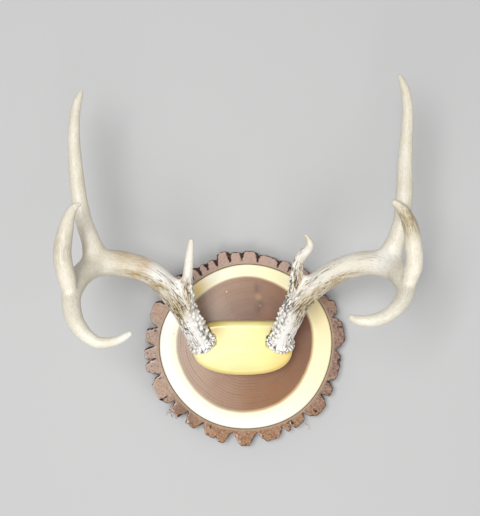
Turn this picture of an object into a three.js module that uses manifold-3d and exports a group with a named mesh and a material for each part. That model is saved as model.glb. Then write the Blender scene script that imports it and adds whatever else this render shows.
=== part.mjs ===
// A pair of eight-point whitetail antlers on a wall plaque, lying on its back.
//
// The plaque is a slice of walnut log with its bark on. A carved wooden block is screwed to it from
// behind, and each antler's pedicle stands in a socket in one of the block's upper shoulders.
// Millimetres. +Z leaves the plaque's face, +Y is the top as it hangs, and +X is to the right of
// somebody who looks at its face. The origin is the middle of the slice's flat back.

import * as THREE from 'three';
import { mergeVertices } from 'three/addons/utils/BufferGeometryUtils.js';
import Module from 'manifold-3d';

const wasm = await Module();
wasm.setup();

// Driving dimensions.
const gap = 0.3; // clearance between two pieces that touch
const sliceThickness = 22;
const blockFront = 59; // height of the block's face above the slice's back
const blockEdgeRadius = 6.5;
const burrRadius = 17.2;
const burrHeight = 9;
const seatRadius = 18.1; // flat counterbored in the block's shoulder for a burr
const seatDepth = 10; // the counterbore narrows to a throat above this
const throatRadius = 16;
const pedicleRadius = 10.5;
const pedicleLength = 12;
const clearHeight = 80; // cutters that open a pocket reach this far past it
const beamFacets = { sides: 14, ringSpacing: 9 };
const tineFacets = { sides: 12, ringSpacing: 7.5 };
const turnedSides = 18; // of burrs, pedicles and their sockets
const blockScrewSpacing = 38;
const blockScrewEnd = 43;
const blockScrewY = -8;
const hangerY = 74; // middle of the keyhole plate let into the slice's back
const hangerLength = 46;
const hangerWidth = 17;
const hangerBase = 0.5; // the plate lies this far inside the back
const hangerThickness = 2;
const hangerScrewSpacing = 34;
const keyholeMouth = 10;
const keyholeWidth = 5.6;
const mouthLow = hangerY - 12;
const keyholeTop = hangerY + 12;
const reliefWidth = 13; // routed room for a wall screw's head behind the keyhole
const reliefLow = mouthLow - 1.5;
const reliefHigh = keyholeTop + 2;
const keyholeDepth = 11;

// The slice's outline is a ring of bark lobes, counter-clockwise from +X. Each row holds the notch
// before a lobe, [angle in degrees, radius], then the lobe's tip, [angle, radius, width in degrees].
// A lobe with square shoulders has a sixth value: how much of its height its sides reach early on.
const shoulderAt = 0.3; // of the way from a notch to the tip
const barkLobes = [
  [-2, 109, 9, 122, 10, 0.45],
  [19, 111, 25, 121.5, 5, 0.6],
  [29, 116, 31.5, 117, 2],
  [35, 110, 40, 118, 5, 0.6],
  [46, 108.5, 52, 119.5, 7, 0.6],
  [60, 107, 64, 115.5, 4, 0.7],
  [68.5, 105, 75.5, 114.5, 8, 0.7],
  [82, 106, 88, 117.5, 5, 0.65],
  [92.5, 105, 96.5, 116.5, 4, 0.7],
  [100, 105.5, 104, 119.5, 4, 0.6],
  [108.5, 106, 112.5, 114, 3, 0.7],
  [115.5, 107.5, 118.5, 114.5, 2, 0.6],
  [121.5, 103, 126, 116, 4, 0.6],
  [131, 107, 137, 121, 7, 0.6],
  [144, 110, 148, 119.5, 4, 0.5],
  [152, 111, 158, 124, 8, 0.6],
  [167.5, 109, 173.5, 123, 7],
  [180, 109, 184, 124.5, 5, 0.5],
  [188.5, 113, 192, 125, 4, 0.5],
  [198, 109, 207, 124.5, 9, 0.6],
  [217.5, 109, 223, 120, 6],
  [228.5, 105.5, 234.5, 119, 6],
  [241.5, 105.5, 248, 118.5, 5, 0.5],
  [251.5, 115, 255, 121, 4],
  [261, 105, 269.5, 121.6, 5],
  [277.5, 105, 286, 118.5, 7, 0.5],
  [294.5, 106, 297.5, 116, 2, 0.5],
  [299.8, 105.5, 304, 116.5, 5, 0.65],
  [311, 105, 319.5, 122, 8, 0.6],
  [327.5, 107.5, 332, 119, 5],
  [338, 109, 345, 117.5, 7, 0.75],
  [350.5, 114, 353, 117, 3],
];

// Each antler's branches as stations [x, y, z, radius] from root to tip. A tine's root starts inside
// the beam, and forkAt is how far along it the beam ends and the tine's own piece begins.
const leftAntler = {
  beam: [
    [-51, 6, 50, 13.6],
    [-59, 23, 66, 14],
    [-67, 40, 83, 13.6],
    [-78, 61, 100, 14],
    [-94, 81, 115, 13.7],
    [-110, 94, 128, 13.7],
    [-128, 100.5, 138, 14],
    [-147, 103.5, 147, 13.9],
    [-163, 101, 157, 13.2],
    [-173, 93, 174, 12],
    [-178.5, 82, 195, 11.2],
    [-179.5, 69, 214, 9.9],
    [-176, 55, 228, 9.3],
    [-170, 43, 237, 8.6],
    [-160, 32, 243, 7.3],
    [-148, 25, 245, 6.2],
    [-133, 25.5, 243, 4.9],
    [-123, 29.5, 240, 4],
    [-117.5, 33, 238, 2.8],
  ],
  brow_tine: {
    forkAt: 38,
    stations: [
      [-69, 54, 97, 9],
      [-67, 69, 109, 7.5],
      [-66, 83, 119, 5.6],
      [-64.6, 99, 129, 4.7],
      [-63, 111, 137, 4],
      [-61.5, 121, 143.5, 3.2],
      [-60.8, 127, 147, 2.3],
    ],
  },
  tall_tine: {
    forkAt: 22,
    stations: [
      [-162, 101, 157, 11],
      [-165, 117, 160, 11.5],
      [-168, 128, 162, 10],
      [-173.5, 144, 163, 9.2],
      [-178.5, 164, 163, 8.7],
      [-182, 187, 162, 8.1],
      [-185, 214, 159, 7.3],
      [-187, 242, 155, 6.4],
      [-186, 266, 151, 5.3],
      [-183.9, 280, 148.5, 4.5],
      [-181.8, 286, 147, 3.5],
      [-180.9, 289.5, 146, 2.5],
    ],
  },
  front_tine: {
    forkAt: 24,
    stations: [
      [-180.5, 68, 212, 9],
      [-182, 83, 220, 9.3],
      [-184.5, 99, 226, 9.4],
      [-186, 112, 229, 9.2],
      [-184.8, 124, 230, 8.8],
      [-182.6, 136, 229.5, 7.9],
      [-180, 148.5, 227, 6.4],
      [-176.8, 157.3, 224, 4.9],
      [-173, 161.3, 222.5, 3.5],
      [-170.6, 162.7, 221.8, 2.3],
    ],
  },
};
const rightAntler = {
  beam: [
    [39.5, 6, 50, 13],
    [45, 23, 66, 13.2],
    [51, 39, 82, 13.8],
    [58, 56, 98, 14.2],
    [70, 71, 112, 13.8],
    [84.5, 83.5, 125, 13.2],
    [101, 94.5, 136, 13.2],
    [116, 100.5, 146, 13.2],
    [132, 103.3, 155, 13.2],
    [147, 101.5, 163, 13.3],
    [158, 95, 178, 12.6],
    [162, 86, 198, 11.3],
    [162.5, 76.5, 213, 9.7],
    [158.3, 67.6, 225, 8.5],
    [149.8, 58.8, 234, 7.6],
    [137, 50.3, 240, 7],
    [121, 46.2, 244, 6.2],
    [109, 47.2, 243, 4.9],
    [103.8, 49.2, 241.5, 3.3],
  ],
  brow_tine: {
    forkAt: 41,
    stations: [
      [58, 54, 98, 9],
      [56, 70, 109, 8.2],
      [56, 84, 118, 7.2],
      [56.2, 95, 126, 6.5],
      [58.5, 107, 133, 6],
      [63.2, 114, 138.5, 5.6],
      [67.8, 118.8, 143, 4.7],
      [69.2, 123.3, 146.5, 4.1],
      [67, 128.5, 149, 3.2],
      [64.4, 132.7, 151, 2],
    ],
  },
  tall_tine: {
    forkAt: 22,
    stations: [
      [150, 101, 163, 11],
      [155, 115, 165, 11.5],
      [161.5, 130, 166, 10.2],
      [165.8, 146, 166, 9.6],
      [168, 163, 166, 9.1],
      [169.2, 184, 165, 8.9],
      [170.3, 210, 162, 8.2],
      [172.2, 234, 159, 7.1],
      [174, 257, 156, 6.4],
      [174.6, 273, 153, 5.9],
      [172.8, 290, 150, 5.1],
      [169.6, 301.3, 147.5, 3.7],
      [167.4, 306.3, 146, 2.6],
    ],
  },
  front_tine: {
    forkAt: 20,
    stations: [
      [163.5, 77, 211, 9],
      [166.5, 89, 218, 9.1],
      [169.5, 105, 223, 8.8],
      [168, 120, 226, 8.6],
      [165.6, 136, 228, 8.1],
      [161.5, 148, 229, 7],
      [156, 157.4, 230, 6],
      [151, 162, 231, 4.6],
      [148, 164.2, 231, 3.4],
    ],
  },
};

// Closed geometry to solid, and solid back to geometry.
function solidFrom(geometry) {
  const bare = geometry.clone();
  bare.deleteAttribute('normal');
  bare.deleteAttribute('uv');
  const merged = mergeVertices(bare, 1e-4);
  const mesh = new wasm.Mesh({
    numProp: 3,
    vertProperties: merged.attributes.position.array,
    triVerts: new Uint32Array(merged.index.array),
  });
  return new wasm.Manifold(mesh);
}

function geometryFrom(solid) {
  const { vertProperties, triVerts } = solid.getMesh();
  const geometry = new THREE.BufferGeometry();
  geometry.setAttribute('position', new THREE.BufferAttribute(vertProperties, 3));
  geometry.setIndex(new THREE.BufferAttribute(triVerts, 1));
  geometry.computeVertexNormals();
  return geometry;
}

// A turned solid with its axis from base along direction; profile rows are [radius, height].
function turned(profile, base, direction, sides) {
  const points = profile.map(([radius, height]) => new THREE.Vector2(radius, height));
  const lathe = new THREE.LatheGeometry(points, sides);
  const turn = new THREE.Quaternion().setFromUnitVectors(new THREE.Vector3(0, 1, 0), direction);
  return solidFrom(lathe.applyQuaternion(turn).translate(base.x, base.y, base.z));
}

// A box with its low and high corners given.
function boxBetween(low, high) {
  const size = high.map((value, axis) => value - low[axis]);
  const middle = high.map((value, axis) => (value + low[axis]) / 2);
  return solidFrom(new THREE.BoxGeometry(...size).translate(...middle));
}

function pathOf(stations) {
  const points = stations.map(([x, y, z]) => new THREE.Vector3(x, y, z));
  return new THREE.CatmullRomCurve3(points, false, 'centripetal');
}

// A round limb whose radius follows its stations: a lathe bent along the path, with a domed tip.
function limb(stations, { sides, ringSpacing }) {
  const path = pathOf(stations);
  const radii = stations.map((station) => new THREE.Vector3(station[3], 0, 0));
  const girth = new THREE.CatmullRomCurve3(radii, false, 'catmullrom');
  const rings = Math.round(path.getLength() / ringSpacing);
  const spacing = path.getLength() / rings;
  const frames = path.computeFrenetFrames(rings);
  const fullness = 1 / Math.cos(Math.PI / sides / 1.4); // the flats come in as far as the corners go out
  const profile = [new THREE.Vector2(0, 0)];
  for (let ring = 0; ring <= rings; ring += 1) {
    const radius = girth.getPoint(path.getUtoTmapping(ring / rings)).x * fullness;
    profile.push(new THREE.Vector2(radius, ring));
  }
  const tipRadius = profile.at(-1).x; // the tip's dome takes two more rows
  profile.push(new THREE.Vector2(tipRadius * 0.7, rings + (tipRadius * 0.6) / spacing));
  profile.push(new THREE.Vector2(0, rings + (tipRadius * 0.9) / spacing));
  const lathe = new THREE.LatheGeometry(profile, sides);
  const vertex = lathe.attributes.position;
  for (let i = 0; i < vertex.count; i += 1) {
    const ring = Math.min(rings, Math.floor(vertex.getY(i) + 1e-6));
    const place = path.getPointAt(ring / rings);
    place.addScaledVector(frames.binormals[ring], vertex.getX(i));
    place.addScaledVector(frames.normals[ring], vertex.getZ(i));
    place.addScaledVector(frames.tangents[ring], (vertex.getY(i) - ring) * spacing);
    vertex.setXYZ(i, place.x, place.y, place.z);
  }
  return solidFrom(lathe);
}

// Everything on the far side of a plane, within reach of a fork.
function beyond(point, normal) {
  const reach = 300; // longer than any tine
  const block = new THREE.BoxGeometry(reach, reach, reach).translate(0, 0, reach / 2);
  block.applyQuaternion(new THREE.Quaternion().setFromUnitVectors(new THREE.Vector3(0, 0, 1), normal));
  return solidFrom(block.translate(point.x, point.y, point.z));
}

const antlerFinish = { color: '#e3d9c2', roughness: 0.5, metalness: 0 };
const steelFinish = { color: '#9fa1a3', roughness: 0.35, metalness: 1 };

const model = new THREE.Group();

function addPiece(name, solid, finish) {
  const mesh = new THREE.Mesh(geometryFrom(solid), new THREE.MeshStandardMaterial(finish));
  mesh.name = name;
  model.add(mesh);
}

// Where an antler meets the block: the burr's underside and the way the beam leaves it.
function seatOf(antler) {
  const path = pathOf(antler.beam);
  return { base: path.getPointAt(0), direction: path.getTangentAt(0) };
}

// The knobbly ring at the foot of the beam, with the bone stub that stands in the block's socket.
function burr({ base, direction }) {
  const ring = [
    [0, 0],
    [burrRadius - 2.6, 0],
    [burrRadius - 0.4, burrHeight * 0.22],
    [burrRadius, burrHeight * 0.5],
    [burrRadius - 1.6, burrHeight * 0.82],
    [burrRadius - 4, burrHeight],
    [0, burrHeight],
  ];
  const stub = [
    [0, -pedicleLength],
    [pedicleRadius - 1, -pedicleLength],
    [pedicleRadius, 1 - pedicleLength],
    [pedicleRadius, 2],
    [0, 2],
  ];
  return turned(ring, base, direction, turnedSides).add(turned(stub, base, direction, turnedSides));
}

function addAntler(side, antler) {
  let beam = limb(antler.beam, beamFacets).add(burr(seatOf(antler)));
  for (const name of ['brow_tine', 'tall_tine', 'front_tine']) {
    const { forkAt, stations } = antler[name];
    const path = pathOf(stations);
    const cut = forkAt / path.getLength();
    const normal = path.getTangentAt(cut);
    const tine = limb(stations, tineFacets);
    beam = beam.add(tine.subtract(beyond(path.getPointAt(cut), normal)));
    const start = path.getPointAt(cut).addScaledVector(normal, gap);
    addPiece(`${side}_${name}`, tine.intersect(beyond(start, normal)), antlerFinish);
  }
  addPiece(`${side}_beam`, beam, antlerFinish);
}

// A countersunk screw that stands on +Z with its head at the slice's back.
function screw({ headRadius, shankRadius, headBase, end }, x, y) {
  const profile = [
    [0, headBase],
    [headRadius, headBase],
    [shankRadius, headBase + headRadius - shankRadius],
    [shankRadius, end - 2 * shankRadius],
    [0, end],
  ];
  return turned(profile, new THREE.Vector3(x, y, 0), new THREE.Vector3(0, 0, 1), 14);
}

// The hole that the same screw stands in: a gap wider all round, and open below.
function screwHole({ headRadius, shankRadius, headBase, end }, x, y) {
  const profile = [
    [0, -1],
    [headRadius + gap, -1],
    [headRadius + gap, headBase + gap],
    [shankRadius + gap, headBase + gap + headRadius - shankRadius],
    [shankRadius + gap, end + gap],
    [0, end + gap],
  ];
  return turned(profile, new THREE.Vector3(x, y, 0), new THREE.Vector3(0, 0, 1), 14);
}

// An upright slot with round ends, from one depth to another.
function slot(width, lowY, highY, base, top) {
  const radius = width / 2;
  const outline = new THREE.Shape();
  outline.absarc(0, highY - radius, radius, 0, Math.PI);
  outline.absarc(0, lowY + radius, radius, Math.PI, 2 * Math.PI);
  const settings = { depth: top - base, bevelEnabled: false, curveSegments: 6 };
  return solidFrom(new THREE.ExtrudeGeometry(outline, settings).translate(0, 0, base));
}

const blockScrewSize = { headRadius: 4.5, shankRadius: 2.2, headBase: 0.6, end: blockScrewEnd };
const hangerScrewSize = { headRadius: 2.6, shankRadius: 1.4, headBase: 0.6, end: 16 };
const blockScrewXs = [-blockScrewSpacing / 2, blockScrewSpacing / 2];
const hangerScrewYs = [hangerY - hangerScrewSpacing / 2, hangerY + hangerScrewSpacing / 2];

function addSlice() {
  const outline = new THREE.Shape();
  const corners = [];
  barkLobes.forEach(([notchAngle, notchRadius, tipAngle, tipRadius, tipWidth, shoulder], i) => {
    const [nextAngle, nextRadius] = barkLobes[(i + 1) % barkLobes.length];
    const endAngle = nextAngle < notchAngle ? nextAngle + 360 : nextAngle;
    const start = tipAngle - tipWidth / 2;
    const end = tipAngle + tipWidth / 2;
    corners.push([notchAngle, notchRadius]);
    if (shoulder) {
      const angle = notchAngle + (start - notchAngle) * shoulderAt;
      corners.push([angle, notchRadius + (tipRadius - notchRadius) * shoulder]);
    }
    corners.push([start, tipRadius], [end, tipRadius]);
    if (shoulder) {
      const angle = endAngle - (endAngle - end) * shoulderAt;
      corners.push([angle, nextRadius + (tipRadius - nextRadius) * shoulder]);
    }
  });
  outline.setFromPoints(corners.map(([degrees, radius]) => {
    const angle = THREE.MathUtils.degToRad(degrees);
    return new THREE.Vector2(radius * Math.cos(angle), radius * Math.sin(angle));
  }));
  const settings = { depth: sliceThickness, bevelEnabled: false };
  let slice = solidFrom(new THREE.ExtrudeGeometry(outline, settings));
  for (const x of blockScrewXs) slice = slice.subtract(screwHole(blockScrewSize, x, blockScrewY));
  for (const y of hangerScrewYs) slice = slice.subtract(screwHole(hangerScrewSize, 0, y));
  const low = hangerY - hangerLength / 2 - gap;
  const high = hangerY + hangerLength / 2 + gap;
  slice = slice.subtract(slot(hangerWidth + 2 * gap, low, high, -1, hangerBase + hangerThickness + gap));
  slice = slice.subtract(slot(reliefWidth, reliefLow, reliefHigh, -1, keyholeDepth));
  addPiece('log_slice', slice, { color: '#9a745c', roughness: 0.6, metalness: 0 });
}

// The block's outline, anticlockwise from its lower left: rounder below than at its upper corners.
function blockOutline() {
  const outline = new THREE.Shape();
  outline.moveTo(-4, -30.4);
  outline.bezierCurveTo(30, -30.4, 55.3, -20, 55.3, 2);
  outline.bezierCurveTo(55.3, 22, 46, 33.5, 28, 33.5);
  outline.lineTo(-28, 33.5);
  outline.bezierCurveTo(-50, 33.5, -64, 22, -64, 2);
  outline.bezierCurveTo(-64, -16, -40, -30.4, -4, -30.4);
  return outline;
}

function addBlock() {
  const base = sliceThickness + gap;
  const settings = {
    depth: blockFront - blockEdgeRadius - sliceThickness,
    bevelThickness: blockEdgeRadius,
    bevelSize: blockEdgeRadius,
    bevelOffset: -blockEdgeRadius,
    bevelSegments: 4,
    curveSegments: 7,
  };
  const rounded = new THREE.ExtrudeGeometry(blockOutline(), settings).translate(0, 0, sliceThickness);
  const below = boxBetween([-clearHeight, -clearHeight, 0], [clearHeight, clearHeight, base]);
  let block = solidFrom(rounded).subtract(below);
  for (const antler of [leftAntler, rightAntler]) {
    const { base: foot, direction } = seatOf(antler);
    const seat = [
      [0, -gap],
      [seatRadius, -gap],
      [seatRadius, seatDepth - gap],
      [throatRadius, seatDepth + 2],
      [throatRadius, clearHeight],
      [0, clearHeight],
    ];
    const depth = -pedicleLength - gap;
    const socket = [[0, depth], [pedicleRadius + gap, depth], [pedicleRadius + gap, 0], [0, 0]];
    block = block.subtract(turned(seat, foot, direction, 24));
    block = block.subtract(turned(socket, foot, direction, turnedSides));
  }
  for (const x of blockScrewXs) block = block.subtract(screwHole(blockScrewSize, x, blockScrewY));
  addPiece('mounting_block', block, { color: '#efdb8e', roughness: 0.35, metalness: 0 });
}

function addHanger() {
  const low = hangerY - hangerLength / 2;
  const high = hangerY + hangerLength / 2;
  let plate = slot(hangerWidth, low, high, hangerBase, hangerBase + hangerThickness);
  const through = [-1, hangerBase + 2 * hangerThickness];
  const nearlyRound = keyholeMouth + 0.01; // two half circles that don't share their ends
  plate = plate.subtract(slot(keyholeMouth, mouthLow, mouthLow + nearlyRound, ...through));
  plate = plate.subtract(slot(keyholeWidth, mouthLow + keyholeWidth / 2, keyholeTop, ...through));
  for (const y of hangerScrewYs) plate = plate.subtract(screwHole(hangerScrewSize, 0, y));
  addPiece('hanger_plate', plate, steelFinish);
}

addSlice();
addBlock();
addAntler('left', leftAntler);
addAntler('right', rightAntler);
blockScrewXs.forEach((x, i) => {
  addPiece(`block_screw_${i + 1}`, screw(blockScrewSize, x, blockScrewY), steelFinish);
});
addHanger();
hangerScrewYs.forEach((y, i) => {
  addPiece(`hanger_screw_${i + 1}`, screw(hangerScrewSize, 0, y), steelFinish);
});

export default model;
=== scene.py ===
import math

import bmesh
import bpy
import numpy as np
from mathutils import Matrix, Vector, kdtree, noise


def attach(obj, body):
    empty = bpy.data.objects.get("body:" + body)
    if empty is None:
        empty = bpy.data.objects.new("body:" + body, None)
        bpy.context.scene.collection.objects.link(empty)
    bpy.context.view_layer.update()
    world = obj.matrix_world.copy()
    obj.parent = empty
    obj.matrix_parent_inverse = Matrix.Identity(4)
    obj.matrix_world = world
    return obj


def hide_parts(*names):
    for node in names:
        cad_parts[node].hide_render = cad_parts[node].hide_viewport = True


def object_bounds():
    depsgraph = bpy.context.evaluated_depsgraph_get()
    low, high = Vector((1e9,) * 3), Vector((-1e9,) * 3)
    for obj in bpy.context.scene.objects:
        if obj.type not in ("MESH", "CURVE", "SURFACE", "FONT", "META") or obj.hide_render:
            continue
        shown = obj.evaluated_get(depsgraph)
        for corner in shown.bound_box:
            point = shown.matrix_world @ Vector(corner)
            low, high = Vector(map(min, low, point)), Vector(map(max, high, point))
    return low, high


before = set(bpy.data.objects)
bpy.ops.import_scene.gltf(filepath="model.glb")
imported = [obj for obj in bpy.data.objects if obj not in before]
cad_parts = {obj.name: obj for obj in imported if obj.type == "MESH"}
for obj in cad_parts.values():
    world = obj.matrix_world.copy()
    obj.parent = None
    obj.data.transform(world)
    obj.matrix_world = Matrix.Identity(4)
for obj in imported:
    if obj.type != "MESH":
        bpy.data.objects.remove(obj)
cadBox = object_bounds()
mm = 0.001  # the tables below are in millimetres, Blender's meshes in metres


class Wire:
    # A node's output socket, which can be written in sums; materials and Geometry Nodes share it.
    def __init__(self, graph, socket):
        self.graph = graph
        self.socket = socket

    def __add__(self, other):
        return self.graph.maths("ADD", self, other)

    def __radd__(self, other):
        return self.graph.maths("ADD", other, self)

    def __sub__(self, other):
        return self.graph.maths("SUBTRACT", self, other)

    def __rsub__(self, other):
        return self.graph.maths("SUBTRACT", other, self)

    def __mul__(self, other):
        return self.graph.maths("MULTIPLY", self, other)

    def __truediv__(self, other):
        return self.graph.maths("DIVIDE", self, other)

    def absolute(self):
        return self.graph.maths("ABSOLUTE", self)

    def root(self):
        return self.graph.maths("SQRT", self)

    def most(self, other):
        return self.graph.maths("MAXIMUM", self, other)

    def clamped(self):
        return self.graph.add("ShaderNodeClamp", {}, {0: self})


class Graph:
    def __init__(self, tree):
        self.tree = tree

    def add(self, kind, settings=None, inputs=None, output=0):
        node = self.tree.nodes.new(kind)
        for name, value in (settings or {}).items():
            setattr(node, name, value)
        for name, value in (inputs or {}).items():
            if isinstance(value, Wire):
                self.tree.links.new(value.socket, node.inputs[name])
            else:
                node.inputs[name].default_value = value
        return Wire(self, node.outputs[output]) if node.outputs else node

    def maths(self, operation, *values):
        return self.add("ShaderNodeMath", {"operation": operation}, dict(enumerate(values)))

    def ramp(self, value, low, high, bottom=0.0, top=1.0):
        # value from low..high to bottom..top, eased at both ends and held beyond them
        settings = {"interpolation_type": "SMOOTHSTEP"}
        return self.add("ShaderNodeMapRange", settings, {0: value, 1: low, 2: high, 3: bottom, 4: top})

    def mix(self, factor, first, second):
        first, second = ((*value, 1) if isinstance(value, tuple) else value for value in (first, second))
        return self.add("ShaderNodeMix", {"data_type": "RGBA"}, {0: factor, 6: first, 7: second}, 2)

    def layered(self, colour, *layers):
        # Lays tints over a colour, each by its own mask.
        for mask, tint in layers:
            colour = self.mix(mask, colour, tint)
        return colour

    def spotted(self, colour, place, spots):
        # The same for round spots: centre, reach, share and tint.
        for centre, reach, share, tint in spots:
            colour = self.mix(self.near(place, centre, reach) * share, colour, tint)
        return colour

    def scaled(self, vector, scale):
        return self.add("ShaderNodeVectorMath", {"operation": "MULTIPLY"}, {0: vector, 1: scale})

    def resized(self, vector, length):
        return self.add("ShaderNodeVectorMath", {"operation": "SCALE"}, {0: vector, "Scale": length})

    def shifted(self, vector, other):
        return self.add("ShaderNodeVectorMath", {"operation": "ADD"}, {0: vector, 1: other})

    def joined(self, x=0.0, y=0.0, z=0.0):
        return self.add("ShaderNodeCombineXYZ", {}, {0: x, 1: y, 2: z})

    def ring(self, corners, radius):
        inputs = {"Resolution": corners, "Radius": radius}
        return self.add("GeometryNodeCurvePrimitiveCircle", {}, inputs)

    def swept(self, curve, ring):
        inputs = {"Curve": curve, "Profile Curve": ring, "Fill Caps": True}
        return self.add("GeometryNodeCurveToMesh", {}, inputs)

    def near(self, place, centre, reach):
        # 1 at a centre, fading to 0 at its reach
        distance = self.add("ShaderNodeVectorMath", {"operation": "DISTANCE"}, {0: place, 1: centre}, 1)
        return self.ramp(distance, 0, reach, 1.0, 0.0)

    def noise(self, vector, scale, detail=2.0, roughness=0.5, output=0):
        inputs = {"Vector": vector, "Scale": scale, "Detail": detail, "Roughness": roughness}
        return self.add("ShaderNodeTexNoise", {}, inputs, output)

    def cells(self, vector, scale, feature="F1"):
        return self.add("ShaderNodeTexVoronoi", {"feature": feature}, {"Vector": vector, "Scale": scale})

    def inMillimetres(self, place):
        return self.scaled(place, (1 / mm, 1 / mm, 1 / mm))

    def objectPlace(self):
        # The place on the piece, and the same split into x, y and z.
        place = self.inMillimetres(self.add("ShaderNodeTexCoord", {}, {}, "Object"))
        split = self.add("ShaderNodeSeparateXYZ", {}, {0: place}).socket.node
        return place, [Wire(self, socket) for socket in split.outputs]


def evaluated(thing):
    # The plain mesh of an object with its modifiers applied, and the modifiers gone.
    graph = bpy.context.evaluated_depsgraph_get()
    mesh = bpy.data.meshes.new_from_object(thing.evaluated_get(graph))
    thing.modifiers.clear()
    old = thing.data
    thing.data = mesh
    bpy.data.meshes.remove(old)
    return thing


def newObject(name, mesh):
    thing = bpy.data.objects.new(name, mesh)
    bpy.context.scene.collection.objects.link(thing)
    return thing


def meshFrom(name, verts, faces):
    mesh = bpy.data.meshes.new(name)
    mesh.from_pydata(np.asarray(verts).tolist(), [], [list(face) for face in faces])
    mesh.validate()
    return mesh


def voxelRemesh(thing, size):
    remesh = thing.modifiers.new("remesh", "REMESH")
    remesh.mode = "VOXEL"
    remesh.voxel_size = size * mm * 1
    return evaluated(thing)


def positions(mesh):
    co = np.empty(len(mesh.vertices) * 3, np.float32)
    mesh.vertices.foreach_get("co", co)
    return co.reshape(-1, 3).astype(float)


def vertexNormals(mesh):
    normals = np.empty(len(mesh.vertices) * 3, np.float32)
    mesh.vertex_normals.foreach_get("vector", normals)
    return normals.reshape(-1, 3).astype(float)


def setPositions(mesh, places):
    mesh.vertices.foreach_set("co", np.ascontiguousarray(places, np.float32).ravel())
    mesh.update()


def setAttribute(mesh, name, kind, values):
    field = "vector" if kind == "FLOAT_VECTOR" else "value"
    layer = mesh.attributes.new(name, kind, "POINT")
    layer.data.foreach_set(field, np.ascontiguousarray(values, np.float32).ravel())


def geometryTree(name, sockets):
    # An empty tree with a geometry input and output and the named float inputs.
    tree = bpy.data.node_groups.new(name, "GeometryNodeTree")
    tree.interface.new_socket("Geometry", in_out="INPUT", socket_type="NodeSocketGeometry")
    for label, value in sockets.items():
        socket = tree.interface.new_socket(label, in_out="INPUT", socket_type="NodeSocketFloat")
        socket.default_value = value
    tree.interface.new_socket("Geometry", in_out="OUTPUT", socket_type="NodeSocketGeometry")
    graph = Graph(tree)
    source = tree.nodes.new("NodeGroupInput")
    wires = {socket.name: Wire(graph, socket) for socket in source.outputs if socket.name}
    return graph, wires


def growOn(thing, graph, values):
    # Runs a geometry tree on an object, with its inputs set by their identifiers.
    modifier = thing.modifiers.new(graph.tree.name, "NODES")
    modifier.node_group = graph.tree
    for item in graph.tree.interface.items_tree:
        if item.in_out == "INPUT" and item.name in values:
            modifier[item.identifier] = values[item.name]
    thing.update_tag()
    return evaluated(thing)


def painted(graph, geometry, look):
    # The end of every tree that grows new pieces.
    whole = graph.add("GeometryNodeRealizeInstances", {}, {"Geometry": geometry})
    whole = graph.add("GeometryNodeSetMaterial", {}, {"Geometry": whole, "Material": look})
    graph.add("NodeGroupOutput", {}, {"Geometry": whole})


def material(name, roughness):
    made = bpy.data.materials.new(name)
    made.use_nodes = True
    surface = made.node_tree.nodes["Principled BSDF"]
    surface.inputs["Roughness"].default_value = roughness
    return made, Graph(made.node_tree), surface


def connect(graph, wire, surface, label):
    graph.tree.links.new(wire.socket, surface.inputs[label])


def bumped(graph, surface, height, distance, strength=1.0):
    inputs = {"Height": height, "Distance": distance * mm, "Strength": strength}
    connect(graph, graph.add("ShaderNodeBump", {}, inputs), surface, "Normal")


def attribute(graph, name, output="Fac"):
    return graph.add("ShaderNodeAttribute", {"attribute_name": name}, {}, output)


def merged(mesh, turnOut=False):
    # Joins a mesh's loose faces, so that it can be cut.
    shape = bmesh.new()
    shape.from_mesh(mesh)
    bmesh.ops.remove_doubles(shape, verts=shape.verts, dist=1e-6)
    if turnOut:
        bmesh.ops.recalc_face_normals(shape, faces=shape.faces)
    shape.to_mesh(mesh)
    shape.free()


def nodeCopy(node, name):
    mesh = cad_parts[node].data.copy()
    merged(mesh)
    mesh.materials.clear()
    return newObject(name, mesh)


def carve(thing, cutter, operation="DIFFERENCE"):
    # Cuts one closed mesh by another, which is used up.
    boolean = thing.modifiers.new("carve", "BOOLEAN")
    boolean.operation = operation
    boolean.solver = "EXACT"
    boolean.object = cutter
    evaluated(thing)
    bpy.data.objects.remove(cutter)


def around(sides):
    return np.arange(sides) * 2 * math.pi / sides


def ringAt(angle, radius, z):
    return np.column_stack([np.cos(angle) * radius, np.sin(angle) * radius, np.full(len(angle), float(z))])


def bands(levels, count):
    # The faces between rings of equal count that follow one another; as many bands as levels - 1.
    faces = []
    for low in range(0, (levels - 1) * count, count):
        high = low + count
        faces += [(low + i, low + (i + 1) % count, high + (i + 1) % count, high + i) for i in range(count)]
    return faces


def closed(rings, bottom, top):
    # The points and faces of a solid from rings of equal count and a middle point for either end.
    count = len(rings[0])
    verts = np.vstack([*rings, bottom, top])
    foot, tip, last = len(verts) - 2, len(verts) - 1, (len(rings) - 1) * count
    faces = bands(len(rings), count)
    faces += [(foot, (i + 1) % count, i) for i in range(count)]
    faces += [(tip, last + i, last + (i + 1) % count) for i in range(count)]
    return verts, faces


def drum(name, rings):
    # A closed solid from rings of equal count, bottom first.
    verts, faces = closed(rings, np.mean(rings[0], 0), np.mean(rings[-1], 0))
    return newObject(name, meshFrom(name, verts * mm, faces))


def turnedSolid(name, profile, base, axis, sides=96):
    # A lathe whose rows are (radius, height), with its axis from base; every radius is over zero.
    turn = np.array(Vector((0, 0, 1)).rotation_difference(Vector(axis)).to_matrix())
    rings = [ringAt(around(sides), radius, height) @ turn.T + base for radius, height in profile]
    return drum(name, rings)


def finishPiece(thing, look, slot, *nodes):
    thing.data.materials.clear()
    thing.data.materials.append(look)
    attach(thing, "root")
    if nodes:
        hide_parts(*nodes)
    print(thing.name, "done,", len(thing.data.polygons), "faces")


def smoothShade(mesh):
    mesh.polygons.foreach_set("use_smooth", [True] * len(mesh.polygons))


def insideFrame(places):
    # The looks stay inside the frame's box.
    low, high = (np.array(corner) / mm for corner in cadBox)
    return places.clip(low, high)


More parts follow.
